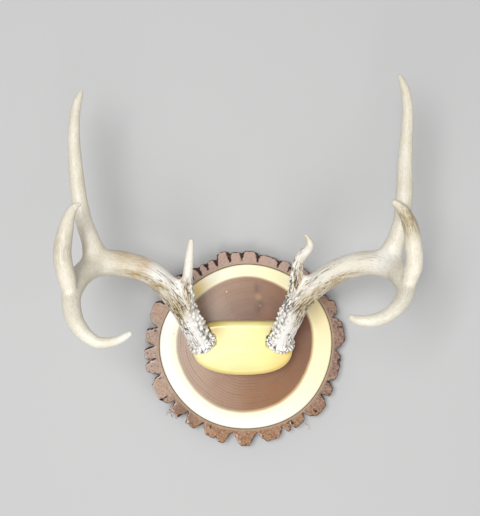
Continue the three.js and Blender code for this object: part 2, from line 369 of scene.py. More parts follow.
def rough(x, y, z):
    return noise.noise(Vector((x, y, z)))


# The log slice, wood and bark, in millimetres and degrees.
logSlice = {
    "thickness": 22.0,
    "pith": (6.2, 22.0),
    "ringCount": 36,
    "heartShare": 0.809,  # where heartwood ends, on the way from pith to bark
    "heartWaves": [(1, -0.0246, 0.418), (2, -0.016, 0.0)],  # and how that swells: order, size, phase
    "lowKnot": (17.5, 49.5, 15),  # x, y and reach
    "highKnot": (13.5, 71.5, 12),
    "knotNarrowing": 1.6,
    "woodRadii": {0: 104, 15: 105.2, 30: 105.6, 45: 103.6, 60: 101.4, 75: 101.2, 90: 100.7, 105: 100.6,
                  120: 98.6, 135: 99.2, 153: 103.5, 165: 105.2, 180: 104.6, 195: 103.9, 210: 103.1,
                  225: 101.6, 240: 100.8, 255: 100.2, 270: 99.5, 285: 100.8, 300: 100.9, 315: 101.9,
                  330: 103, 345: 103.5},
    "seam": 0.25,  # between wood and bark
    "edgeBreak": 0.3,
    "barkVoxel": 0.85,
    "crustArc": (56, 158),  # where crust stands in the notches, in degrees
    # the side that light is painted from: bark edges facing it get a painted highlight, the others painted
    # shade
    "litSide": (-0.8, 0.6),  # the way that pale edges of the bark face
    # splits in the bark, open outwards: angle, near and far end, width
    "cracks": [(121.8, 102, 115, 5), (115.9, 104, 114, 4.5), (109.4, 104, 115, 4.5), (100.5, 105, 117, 4.5),
               (92.4, 105, 116, 3.6), (82.2, 104, 116, 4.5), (68.6, 104, 116, 4.5), (61, 104, 112, 2.5),
               (127.5, 103, 112, 2.2), (212, 111, 126, 2.2), (246.2, 103, 109, 1.5), (317.5, 111, 118, 2.2),
               (301.5, 104, 111, 2.2), (187.5, 109, 117, 1.6), (170, 110, 114, 1.4), (46, 104, 110, 1.5),
               (226, 112, 119, 1.9), (240, 106, 113, 1.7), (337, 107, 112, 1.9), (12, 113, 121, 1.6),
               (200, 110, 113, 1.4), (352, 112, 119, 1.5), (281, 108, 112, 1.4), (152, 108, 116, 1.8)],
    "woodTints": {
        "heartLeft": (0.43, 0.305, 0.228), "heartRight": (0.155, 0.05, 0.012),
        "heartLow": (0.285, 0.105, 0.010), "heartTop": (0.295, 0.135, 0.048),
        "heartAntlerShadow": (0.26, 0.15, 0.115), "heartCloud": (0.25, 0.125, 0.07),
        "ringLeft": (0.16, 0.085, 0.052), "ringRight": (0.07, 0.02, 0.006), "knot": (0.10, 0.036, 0.014),
        "sapLeft": (0.88, 0.87, 0.81), "sapRight": (0.87, 0.81, 0.47), "sapRing": (0.66, 0.52, 0.27),
        "sapInner": (0.90, 0.84, 0.52), "haloLeft": (0.50, 0.44, 0.30), "haloRight": (0.60, 0.41, 0.20),
        "rim": (0.42, 0.35, 0.21), "underside": (0.28, 0.19, 0.12),
    },
    # spots on the wood: centre, reach, share and tint
    "heartSpots": [
        ((25, 40, 0), 15, 0.5, (0.33, 0.13, 0.055)), ((15.5, 61, 0), 7, 0.55, (0.42, 0.24, 0.10)),
        ((17.4, 50.5, 0), 2.4, 0.6, (0.48, 0.26, 0.17)), ((-23.5, 67.5, 0), 1.3, 0.7, (0.9, 0.78, 0.66)),
    ],
    # these sapwood spots are painted shadows of the antlers, in warm yellow
    "sapShadows": [((-64, 66, 0), 36, 0.95, (0.96, 0.70, 0.22)), ((86, 44, 0), 46, 0.85, (0.82, 0.66, 0.34))],
    "pinholes": [((-87.5, 16, 0), 1.6, 0.7, (0.36, 0.25, 0.14)), ((72, 42, 0), 1.6, 0.7, (0.36, 0.25, 0.14))],
    "barkTints": {
        "face": (0.44, 0.305, 0.25), "faceShadedRight": (0.21, 0.125, 0.087), "faceLitLeft": (0.47, 0.355, 0.285),
        "faceLow": (0.31, 0.15, 0.055), "faceCorner": (0.17, 0.09, 0.06), "faceTop": (0.55, 0.39, 0.325),
        "paleMottle": (0.52, 0.375, 0.305), "darkMottle": (0.17, 0.085, 0.07), "flake": (0.16, 0.08, 0.065),
        "patch": (0.46, 0.28, 0.17), "inner": (0.45, 0.33, 0.225), "seam": (0.26, 0.20, 0.125),
        "shadedEdge": (0.085, 0.042, 0.032), "litEdge": (0.72, 0.55, 0.48), "crack": (0.020, 0.009, 0.006),
        "crust": (0.030, 0.013, 0.010), "crustRidge": (0.14, 0.058, 0.042), "crustFlake": (0.30, 0.19, 0.15),
    },
}


def woodWaves():
    # The wood's outline as a few waves round the slice, for meshes and materials alike.
    turn = np.radians(list(logSlice["woodRadii"]))
    radii = np.array(list(logSlice["woodRadii"].values()), float)
    orders = range(6)
    terms = np.array([wave(k * turn) for k in orders for wave in (np.cos, np.sin)]).T
    weights = np.linalg.lstsq(terms, radii, rcond=None)[0].reshape(-1, 2)
    return [(k, math.hypot(c, s), math.atan2(s, c)) for k, (c, s) in zip(orders, weights)]


waves = woodWaves()


def woodRadius(angle):
    return sum(size * np.cos(k * angle - phase) for k, size, phase in waves)


def waved(graph, angle, start, terms):
    for k, size, phase in terms:
        start = start + graph.maths("COSINE", angle * k - phase) * size
    return start


def polar(graph, x, y):
    # The angle and distance on the slice's face, and the wood's radius there.
    angle = graph.maths("ARCTAN2", y, x)
    return angle, (x * x + y * y).root(), waved(graph, angle, 0.0, waves)


def walnutLook():
    tint = logSlice["woodTints"]
    made, graph, surface = material("walnut", 0.42)
    place, (x, y, z) = graph.objectPlace()
    angle, distance, radius = polar(graph, x, y)
    flat = graph.joined(x, y)

    # the share of the way from pith to bark, which the rings are even on
    pithX, pithY = logSlice["pith"]
    fromPithX, fromPithY = x - pithX, y - pithY
    along = fromPithX * pithX + fromPithY * pithY
    square = fromPithX * fromPithX + fromPithY * fromPithY
    spread = radius * radius - (pithX**2 + pithY**2)
    share = (along + (along * along + spread * square).root()) / spread

    narrowing = logSlice["knotNarrowing"]
    narrow = graph.joined(x * narrowing, y)
    lowKnot, highKnot = (graph.near(narrow, (knotX * narrowing, knotY, 0), reach)
                         for knotX, knotY, reach in (logSlice["lowKnot"], logSlice["highKnot"]))
    bend = graph.noise(place, 0.03, 2.0) - 0.5
    wobble = share + bend * 0.08 * (1.1 - share) + lowKnot * 0.075 - highKnot * 0.03
    phase = wobble * logSlice["ringCount"]
    cycle = graph.maths("FRACT", phase)
    late = graph.ramp(cycle, 0.45, 0.97) * (1 - graph.ramp(cycle, 0.98, 1.0))
    vary = graph.noise(graph.joined(phase * 0.62, angle * 0.9), 1.0, 1.0)
    strong = graph.ramp(vary, 0.42, 0.72)
    rays = graph.noise(graph.joined(angle * 46, share * 8, z * 0.05), 1.0, 2.0)
    pores = graph.ramp(graph.cells(place, 0.95), 0.10, 0.24, 1.0, 0.0)
    cloud = graph.noise(place, 0.02, 2.0)
    dark = (late * (0.16 + strong * 0.5) + (0.6 - rays) * 0.4 + pores * 0.10).clamped()
    smudge = graph.ramp(graph.noise(graph.scaled(place, (0.3, 0.14, 0.2)), 1.0, 3.0), 0.32, 0.6)
    knots = ((lowKnot * 1.5 + highKnot * 1.2) * smudge * (0.5 + late * 0.5)).clamped()

    toRight = graph.ramp(x + (cloud - 0.5) * 60, -75, 60)
    toBottom = graph.ramp(y + (cloud - 0.5) * 50, 15, -60)
    heart = graph.layered(
        graph.mix(toRight, tint["heartLeft"], tint["heartRight"]),
        (toBottom * (0.2 + toRight * 0.6), tint["heartLow"]),
        (graph.ramp(y, 30, 85) * 0.6, tint["heartTop"]),
        # painted shadow of the left antler on the heartwood
        (graph.near(flat, (-46, 46, 0), 30) * 0.25, tint["heartAntlerShadow"]),
        (dark, graph.mix(toRight, tint["ringLeft"], tint["ringRight"])),
        (graph.ramp(cloud, 0.5, 0.7) * 0.3, tint["heartCloud"]),
        (knots, tint["knot"]))
    heart = graph.spotted(heart, flat, logSlice["heartSpots"])

    # the sapwood yellows towards the upper right: partly its own tone, partly painted shade
    yellow = graph.ramp(x * 0.75 + y * 0.6 + (cloud - 0.5) * 40, -50, 110)
    sap = graph.spotted(graph.mix(yellow, tint["sapLeft"], tint["sapRight"]), flat, logSlice["sapShadows"])
    sap = graph.mix(late * strong * 0.10 + pores * 0.04, sap, tint["sapRing"])
    sap = graph.spotted(sap, flat, logSlice["pinholes"])

    edge = share + (graph.noise(place, 0.05, 3.0) - 0.5) * 0.012
    beyond = edge - waved(graph, angle, logSlice["heartShare"], logSlice["heartWaves"])
    sap = graph.mix(graph.ramp(beyond, 0.0, 0.10, 0.6, 0.0), sap, tint["sapInner"])
    halo = graph.ramp((beyond + 0.004).absolute(), 0.0, 0.022, 1.0, 0.0)
    rim = graph.ramp(radius - distance, 0.3, 1.8, 1.0, 0.0)
    sawn = graph.ramp(z, logSlice["thickness"] - 1.2, logSlice["thickness"] - 0.2)
    colour = graph.layered(
        graph.mix(graph.ramp(beyond, -0.012, 0.01), heart, sap),
        (halo * (0.5 + toRight * 0.35), graph.mix(toRight, tint["haloLeft"], tint["haloRight"])),
        (rim * 0.6, tint["rim"]),
        ((1 - sawn) * 0.35, tint["underside"]))
    connect(graph, colour, surface, "Base Color")
    connect(graph, graph.ramp(dark, 0, 1, 0.36, 0.55), surface, "Roughness")
    bumped(graph, surface, late * -0.4 - pores * 0.8, 0.1, 0.6)
    return made


def barkLook():
    tint = logSlice["barkTints"]
    made, graph, surface = material("bark", 0.85)
    place, (x, y, z) = graph.objectPlace()
    angle, distance, radius = polar(graph, x, y)
    sawn, crack, edge, lit = (attribute(graph, name) for name in ("sawn", "crack", "edge", "lit"))
    depth = distance - radius
    flakes = graph.noise(graph.joined(angle * 34, depth * 0.9, z * 0.2), 1.0, 4.0, 0.65)
    mottle = graph.noise(place, 0.36, 5.0, 0.7)
    patch = graph.noise(place, 0.07, 3.0)
    stray = (patch - 0.5) * 60
    inner = graph.ramp(depth + (mottle - 0.5) * 3.0, 1.4, 4.4, 1.0, 0.0)
    fringe = graph.ramp(edge + (mottle - 0.5) * 4.0, 0.2, 1.5, 1.0, 0.0)
    fringe = fringe * graph.ramp(y + stray, 60, -30, 0.25, 1.0)
    face = graph.layered(
        # darker to the right and lighter to the left: painted shade and painted light across the sawn face
        graph.mix(graph.ramp(x + stray, 30, 100), tint["face"], tint["faceShadedRight"]),
        (graph.ramp(x + stray, -50, -105), tint["faceLitLeft"]),
        (graph.ramp(y + stray, -40, -105), tint["faceLow"]),
        (graph.ramp(mottle, 0.42, 0.62) * 0.5, tint["paleMottle"]),
        (graph.ramp(mottle, 0.5, 0.36) * 0.65, tint["darkMottle"]),
        (graph.ramp(flakes, 0.53, 0.66) * 0.6, tint["flake"]),
        (graph.ramp(patch, 0.52, 0.68) * 0.5, tint["patch"]),
        (graph.near(graph.joined(x, y), (-78, -82, 0), 34) * 0.7, tint["faceCorner"]),
        (graph.ramp(y, 50, 95) * 0.45, tint["faceTop"]),
        (inner * 0.7, tint["inner"]),
        (graph.ramp(depth, 0.3, 1.1, 1.0, 0.0) * 0.5, tint["seam"]),
        # the edge fringe: a painted highlight where the edge faces the lit side, painted shade elsewhere
        (fringe * 0.85, graph.mix(graph.ramp(lit, -0.35, 0.35), tint["shadedEdge"], tint["litEdge"])))
    crust = graph.mix(graph.ramp(mottle, 0.38, 0.68), tint["crust"], tint["crustRidge"])
    crust = graph.mix(graph.ramp(flakes, 0.55, 0.7) * 0.5, crust, tint["crustFlake"])
    # the splits are coloured near black: painted shade inside them
    connect(graph, graph.layered(crust, (sawn, face), (crack, tint["crack"])), surface, "Base Color")
    bumped(graph, surface, mottle + flakes * 0.5, 0.6, 0.7)
    return made


def barkOutline():
    # The slice's lobed outline from the frame, evenly spaced and with its corners worn.
    places = positions(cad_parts["log_slice"].data) / mm
    reach = np.hypot(places[:, 0], places[:, 1])
    corners = places[(places[:, 2] > logSlice["thickness"] - 0.01) & (reach > logSlice["woodRadii"][120] + 1)]
    corners = np.unique(corners[:, :2].round(2), axis=0)
    corners = corners[np.argsort(np.arctan2(corners[:, 1], corners[:, 0]))]
    loop = np.vstack([corners, corners[:1]])
    arc = np.append(0, np.cumsum(np.linalg.norm(np.diff(loop, axis=0), axis=1)))
    count = int(arc[-1] / 0.5)
    even = np.linspace(0, arc[-1], count, endpoint=False)
    worn = np.array([np.interp(even, arc, column) for column in loop.T]).T
    for _ in range(5):
        worn = (np.roll(worn, 1, axis=0) + 2 * worn + np.roll(worn, -1, axis=0)) / 4
    ahead = np.roll(worn, -3, axis=0) - np.roll(worn, 3, axis=0)
    ahead /= np.linalg.norm(ahead, axis=1)[:, None]
    return worn, np.array([ahead[:, 1], -ahead[:, 0]]).T


def crustLine(line):
    # The same outline with its notches filled, over the arc where crust stands in them.
    reach = np.hypot(line[:, 0], line[:, 1])
    hull = np.max([np.roll(reach, step) for step in range(-11, 12)], axis=0)
    for _ in range(12):
        hull = (np.roll(hull, 1) + 2 * hull + np.roll(hull, -1)) / 4
    start, end = logSlice["crustArc"]
    turn = np.degrees(np.arctan2(line[:, 1], line[:, 0]))
    share = np.clip(np.minimum(turn - start, end - turn) / 8, 0, 1)
    grown = np.maximum(reach, reach + (hull - 1.2 - reach) * share)
    return line * (grown / reach)[:, None]


def barkRings(line, outward):
    # Rings up the outer wall, over the sawn face and down beside the wood.
    crust = crustLine(line)
    top = logSlice["thickness"]
    rings = []
    for z in (0, 0.7, 2, 4, 6.5, 9, 11.5, 14, 16, 17.5, 18.8, 19.8, 20.6, 21.3, top):
        chipping = max(0, (z - (top - 3)) / 3) ** 2
        below = np.clip((20.2 - z) / 2.5, 0, 1)
        offset = []
        for x, y in line:
            wall = 0.8 * rough(x / 7, y / 7, z / 16) + 1.1 * rough(x / 2.2, y / 2.2, z / 5 + 9)
            chip = max(0, rough(x / 2.4, y / 2.4, 30) - 0.02) * 3.6 * chipping
            offset.append(min(0.3, wall - 0.15) - chip)
        place = line * (1 - below) + crust * below + outward * np.array(offset)[:, None]
        rings.append(np.column_stack([place, np.full(len(place), float(z))]))
    angle = np.arctan2(line[:, 1], line[:, 0])
    inside = woodRadius(angle) + logSlice["seam"]
    inner = [ringAt(angle, inside + gain, z)
             for gain, z in ((logSlice["edgeBreak"], top), (0, top - 0.6), (0, 0))]
    return rings + inner, rings[-1]


def crackDepth(places, waver):
    # 1 in the middle of a crack and 0 outside them.
    turn = np.degrees(np.arctan2(places[:, 1], places[:, 0])) % 360
    reach = np.hypot(places[:, 0], places[:, 1])
    crack = np.zeros(len(places))
    for at, near, far, width in logSlice["cracks"]:
        aside = np.abs(np.radians(turn - at) * reach + waver * 1.5)
        within = np.clip(np.minimum(reach - near, far - reach), 0, 1)
        opening = width * (0.25 + 0.75 * np.clip((reach - near) / (far - near), 0, 1))
        crack = np.maximum(crack, np.clip(1.6 - aside / (opening * 0.5), 0, 1) * within)
    return crack


def rimMarks(places, rim, outward):
    # How far each place is from the outer rim, and how far the rim there faces the lit side.
    tree = kdtree.KDTree(len(rim))
    for i, (x, y, _) in enumerate(rim):
        tree.insert((x, y, 0), i)
    tree.balance()
    found = [tree.find((x, y, 0)) for x, y, _ in places]
    lit = [outward[index] @ logSlice["litSide"] for _, index, _ in found]
    return {"edge": [distance for _, _, distance in found], "lit": lit}


def buildBark(look):
    line, outward = barkOutline()
    rings, rim = barkRings(line, outward)
    size = len(line) * len(rings)
    faces = [[corner % size for corner in face] for face in bands(len(rings) + 1, len(line))]
    bark = newObject("bark", meshFrom("bark", np.vstack(rings) * mm, faces))
    voxelRemesh(bark, logSlice["barkVoxel"])
    mesh = bark.data
    top = logSlice["thickness"]
    places = positions(mesh) / mm
    waver = np.array([rough(x / 2.5, y / 2.5, 4) for x, y, _ in places])
    crack = crackDepth(places, waver)
    facing = np.clip((vertexNormals(mesh)[:, 2] - 0.5) / 0.3, 0, 1)
    high = np.clip((places[:, 2] - (top - 1.6)) / 0.9, 0, 1)
    sawn = facing * high * (1 - crack)
    marks = {"sawn": sawn, "crack": crack * high, **rimMarks(places, rim, outward)}
    sunk = crack * high * 3.0 + sawn * (0.10 + 0.12 * waver.clip(-1, 1))
    places[:, 2] = np.clip(places[:, 2] - sunk, 0, top)
    setPositions(mesh, insideFrame(places) * mm)
    for name, values in marks.items():
        setAttribute(mesh, name, "FLOAT", values)
    smoothShade(mesh)
    finishPiece(bark, look, "bark", "log_slice")


def buildWood(look):
    top = logSlice["thickness"]
    angle = around(240)
    broken = -logSlice["edgeBreak"]
    rows = [(-0.4, -1), (-0.4, 0.3), (0, 0.7), (0, top - 0.6), (broken, top + 0.05), (broken, top + 1)]
    rings = [ringAt(angle, woodRadius(angle) + gain, z) for gain, z in rows]
    wood = nodeCopy("log_slice", "sliceWood")
    carve(wood, drum("woodCutter", rings), "INTERSECT")
    finishPiece(wood, look, "walnut_slice", "log_slice")


# Bast fibres that hang from torn bark: points along each strand.
fibres = {
    "radius": 0.42,
    "waver": 0.8,
    "strands": [
        [(-84, -66, 13), (-87, -69, 13.5), (-92, -72, 12), (-94, -80, 9), (-91, -88, 6)],
        [(-93.4, -76, 10.4), (-96, -81, 8), (-99.5, -86, 5)],
        [(-88.5, -70, 13), (-91, -76, 10), (-89, -84, 7), (-86, -90, 5)],
        [(-63, -88, 12), (-66, -92, 11), (-67.5, -98, 9)],
        [(-52, -92, 13), (-55, -97, 12), (-51, -100, 10), (-47, -97, 10.5), (-46, -93, 12)],
        [(72, -95, 12), (76, -98, 10), (77.5, -103, 8)],
    ],
    "tints": [(0.30, 0.17, 0.14), (0.74, 0.60, 0.54)],
}


def fibreLook():
    made, graph, surface = material("bastFibre", 0.8)
    place, _ = graph.objectPlace()
    shade = graph.ramp(graph.noise(place, 0.4, 2.0), 0.35, 0.65)
    connect(graph, graph.mix(shade, *fibres["tints"]), surface, "Base Color")
    bumped(graph, surface, graph.noise(place, 3.0, 2.0), 0.1)
    return made


def fibreTree(look):
    # Sweeps a thinning strand along each line, with a little waver.
    graph, wires = geometryTree("bastStrand", {name: fibres[name] for name in ("radius", "waver")})
    curve = graph.add("GeometryNodeMeshToCurve", {}, {0: wires["Geometry"]})
    curve = graph.add("GeometryNodeCurveSplineType", {"spline_type": "CATMULL_ROM"}, {0: curve})
    curve = graph.add("GeometryNodeResampleCurve", {}, {"Curve": curve, "Count": 26})
    place = graph.inMillimetres(graph.add("GeometryNodeInputPosition"))
    drift = graph.shifted(graph.noise(place, 0.22, 2.0, 0.5, 1), (-0.5, -0.5, -0.5))
    offset = graph.resized(drift, wires["waver"] * 2 * mm)
    curve = graph.add("GeometryNodeSetPosition", {}, {"Geometry": curve, "Offset": offset})
    taper = 1 - graph.add("GeometryNodeSplineParameter") * 0.6
    curve = graph.add("GeometryNodeSetCurveRadius", {}, {"Curve": curve, "Radius": taper})
    painted(graph, graph.swept(curve, graph.ring(7, wires["radius"] * mm)), look)
    return graph


def buildFibres(look):
    verts = [point for strand in fibres["strands"] for point in strand]
    edges = []
    for strand in fibres["strands"]:
        start = edges[-1][1] + 1 if edges else 0
        edges += [(start + i, start + i + 1) for i in range(len(strand) - 1)]
    mesh = bpy.data.meshes.new("bastFibres")
    mesh.from_pydata((np.array(verts) * mm).tolist(), edges, [])
    thing = growOn(newObject("bastFibres", mesh), fibreTree(look), fibres)
    smoothShade(thing.data)
    finishPiece(thing, look, "bark")


block = {
    "face": 59.0,
    "edgeRadius": 6.5,
    "base": 22.3,
    "voxel": 0.85,
    "softening": 6,
    # corners as Bezier points: handle in, point, handle out
    "outline": [
        ((-44, -30.4), (-4, -30.4), (35, -30.4)), ((55.3, -21), (55.3, 2), (55.3, 22)),
        ((46, 33.5), (28, 33.5), (9, 33.5)), ((-9, 33.5), (-28, 33.5), (-50, 33.5)),
        ((-64, 22), (-64, 2), (-64, -18)),
    ],
    "seat": [(0.5, -12.5), (10.8, -12.5), (10.8, -0.3), (18.1, -0.3), (18.1, 9.5), (15.2, 11.5), (15.2, 70),
             (0.5, 70)],
    "screwXs": (-19, 19),
    "screwY": -8,
    "screwHole": (2.5, 43.3),  # radius and top
    "tints": {
        "grainDark": (0.87, 0.80, 0.345), "grainPale": (0.88, 0.84, 0.42), "right": (0.86, 0.78, 0.24),
        "streak": (0.80, 0.66, 0.27), "amber": (0.82, 0.60, 0.19), "corner": (0.47, 0.35, 0.09),
        "topRight": (0.60, 0.54, 0.34), "rim": (0.90, 0.84, 0.52), "pore": (0.55, 0.34, 0.1),
    },
}


def blockLook():
    tint = block["tints"]
    made, graph, surface = material("blockVarnish", 0.3)
    surface.inputs["Coat Weight"].default_value = 0.35
    surface.inputs["Coat Roughness"].default_value = 0.25
    place, (x, y, z) = graph.objectPlace()
    flat = graph.joined(x, y)
    grain = graph.noise(graph.scaled(place, (0.018, 0.14, 0.14)), 1.0, 3.0, 0.55)
    fine = graph.noise(graph.scaled(place, (0.09, 1.4, 1.4)), 1.0, 2.0)
    across = (graph.noise(place, 0.028, 2.0) - 0.5) * 20
    topLeft = graph.near(flat, (-44, 26, 0), 34)
    topRight = graph.near(flat, (36, 28, 0), 26)
    lowRight = graph.near(flat, (50, -12, 0), 32)
    topEdge = graph.ramp(y + across, 14, 34)
    low = graph.ramp(y + across, -12, -29) * 0.8 + graph.ramp(z, 50, 32) * 0.4
    amber = (topLeft * 0.95 + topRight * 0.35 + lowRight * 0.9 + topEdge * 0.25 + low).clamped()
    # a painted highlight along the rounding of the bottom edge
    rim = graph.ramp(y + x.absolute() * 0.1 + across * 0.2, -26, -30) * graph.ramp(z, 44, 52)
    pores = graph.ramp(graph.cells(graph.scaled(place, (0.14, 0.45, 0.45)), 1.0), 0.03, 0.09, 1.0, 0.0)
    colour = graph.layered(
        graph.mix(graph.ramp(grain, 0.35, 0.68), tint["grainDark"], tint["grainPale"]),
        (graph.ramp(x + across, -25, 42) * 0.7, tint["right"]),
        (graph.ramp(fine, 0.5, 0.85) * 0.12, tint["streak"]),
        (amber, graph.mix(topLeft, tint["amber"], tint["corner"])),
        (topRight * 0.6, tint["topRight"]),
        (rim * 0.2, tint["rim"]),
        (pores * 0.3, tint["pore"]))
    connect(graph, colour, surface, "Base Color")
    connect(graph, graph.ramp(fine, 0.2, 0.8, 0.26, 0.36), surface, "Roughness")
    bumped(graph, surface, fine * 0.4 + grain - pores, 0.1, 0.3)
    return made


def blockBlank():
    # The block's outline with rounded edges, as a closed mesh; its lower rounding is cut off later.
    curve = bpy.data.curves.new("blockOutline", "CURVE")
    curve.dimensions = "2D"
    curve.fill_mode = "BOTH"
    curve.resolution_u = 32
    spline = curve.splines.new("BEZIER")
    spline.bezier_points.add(len(block["outline"]) - 1)
    spline.use_cyclic_u = True
    for point, corner in zip(spline.bezier_points, block["outline"]):
        before, at, after = (Vector((*place, 0)) * mm for place in corner)
        point.co, point.handle_left, point.handle_right = at, before, after
    deep = block["face"] - block["base"] + block["edgeRadius"]
    curve.bevel_depth = block["edgeRadius"] * mm
    curve.bevel_resolution = 10
    curve.offset = -block["edgeRadius"] * mm
    curve.extrude = (deep / 2 - block["edgeRadius"]) * mm
    outline = newObject("blockOutline", curve)
    graph = bpy.context.evaluated_depsgraph_get()
    mesh = bpy.data.meshes.new_from_object(outline.evaluated_get(graph))
    bpy.data.objects.remove(outline)
    mesh.transform(Matrix.Translation((0, 0, (block["face"] - deep / 2) * mm)))
    merged(mesh, turnOut=True)
    return newObject("mountingBlock", mesh)


def buildBlock(look, seats):
    thing = blockBlank()
    for name, (base, axis) in seats.items():
        carve(thing, turnedSolid(name, block["seat"], base, axis))
    low = block["base"]
    radius, top = block["screwHole"]
    bore = [(radius, low - 20), (radius, top)]
    for x in block["screwXs"]:
        carve(thing, turnedSolid("screwHole", bore, (x, block["screwY"], 0), (0, 0, 1)))
    square = [[-90, -90], [90, -90], [90, 90], [-90, 90]]
    carve(thing, drum("below", [[[x, y, z] for x, y in square] for z in (0, low)]))
    voxelRemesh(thing, block["voxel"])
    smooth = thing.modifiers.new("soften", "SMOOTH")
    smooth.iterations = block["softening"]
    smooth.factor = 0.5
    evaluated(thing)
    places = positions(thing.data)
    places[:, 2] = places[:, 2].clip(low * mm, block["face"] * mm)
    setPositions(thing.data, places)
    smoothShade(thing.data)
    finishPiece(thing, look, "block_wood", "mounting_block")


# The screws, and the steel that they share with the hanger plate.
hardware = {
    "blockScrew": {"headRadius": 4.5, "shankRadius": 2.2, "headBase": 0.6, "end": 43.0, "pitch": 2.2},
    "hangerScrew": {"headRadius": 2.6, "shankRadius": 1.4, "headBase": 0.6, "end": 16.0, "pitch": 1.3},
    "places": {
        "block_screw_1": ("blockScrew", -19, -8), "block_screw_2": ("blockScrew", 19, -8),
        "hanger_screw_1": ("hangerScrew", 0, 57), "hanger_screw_2": ("hangerScrew", 0, 91),
    },
    "recess": [(1.15, 0.26), (0.26, 1.15)],  # the arms of the cross, as shares of the head's radius
    "tints": [(0.60, 0.60, 0.58), (0.44, 0.44, 0.45)],
}


def steelLook():
    made, graph, surface = material("zincSteel", 0.32)
    surface.inputs["Metallic"].default_value = 1.0
    place, _ = graph.objectPlace()
    brushed = graph.noise(graph.scaled(place, (2.5, 0.12, 2.5)), 1.0, 2.0)
    bloom = graph.noise(place, 0.25, 3.0)
    connect(graph, graph.mix(graph.ramp(bloom, 0.35, 0.7), *hardware["tints"]), surface, "Base Color")
    connect(graph, graph.ramp(brushed, 0.2, 0.8, 0.26, 0.48), surface, "Roughness")
    bumped(graph, surface, brushed, 0.04, 0.5)
    return made


def screwTree(look):
    # A countersunk wood screw on +Z: cone head with a cross recess, threaded shank and point.
    graph, wires = geometryTree("woodScrew", hardware["blockScrew"])
    head, shank, low, end = (wires[name] * mm for name in ("headRadius", "shankRadius", "headBase", "end"))
    core = shank * 0.74
    headDepth = head - core
    point = shank * 2.4
    straight = end - low - point - headDepth  # the threaded length between head and point

    def lifted(part, height):
        inputs = {"Geometry": part, "Translation": graph.joined(z=height)}
        return graph.add("GeometryNodeTransform", {}, inputs)

    def feed(parts, wire, label):
        for part in parts:
            graph.tree.links.new(part.socket, wire.socket.node.inputs[label])

    def cone(sides, topRadius, bottomRadius, deep):
        sizes = {"Vertices": sides, "Radius Top": topRadius, "Radius Bottom": bottomRadius, "Depth": deep}
        return graph.add("GeometryNodeMeshCone", {}, sizes)

    recess = []
    for wide, deep in hardware["recess"]:
        size = graph.joined(head * wide, head * deep, head * 0.9)
        recess.append(lifted(graph.add("GeometryNodeMeshCube", {}, {"Size": size}), low))
    whole = lifted(cone(40, core, head, headDepth), low)
    cut = graph.add("GeometryNodeMeshBoolean", {"operation": "DIFFERENCE", "solver": "EXACT"}, {0: whole})
    feed(recess, cut, "Mesh 2")
    spiral = graph.add("GeometryNodeCurveSpiral", {}, {
        "Resolution": 20, "Rotations": straight / (wires["pitch"] * mm), "Start Radius": core,
        "End Radius": core, "Height": straight})
    ridge = graph.ring(4, shank - core)
    rod = cone(24, core, core, straight + headDepth * 0.1)
    tip = cone(24, 0.0001, core, point)
    joined = graph.add("GeometryNodeJoinGeometry", {}, {})
    feed([cut, lifted(rod, low + headDepth * 0.9), lifted(tip, end - point - 0.05 * mm),
          lifted(graph.swept(spiral, ridge), low + headDepth)], joined, 0)
    painted(graph, joined, look)
    return graph


def buildHardware(look):
    tree = screwTree(look)
    for node, (kind, x, y) in hardware["places"].items():
        thing = newObject(node.replace("_", ""), bpy.data.meshes.new(node))
        growOn(thing, tree, hardware[kind])
        thing.data.transform(Matrix.Translation((x * mm, y * mm, 0)))
        finishPiece(thing, look, "steel", node)
    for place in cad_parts["hanger_plate"].material_slots:
        place.material = look


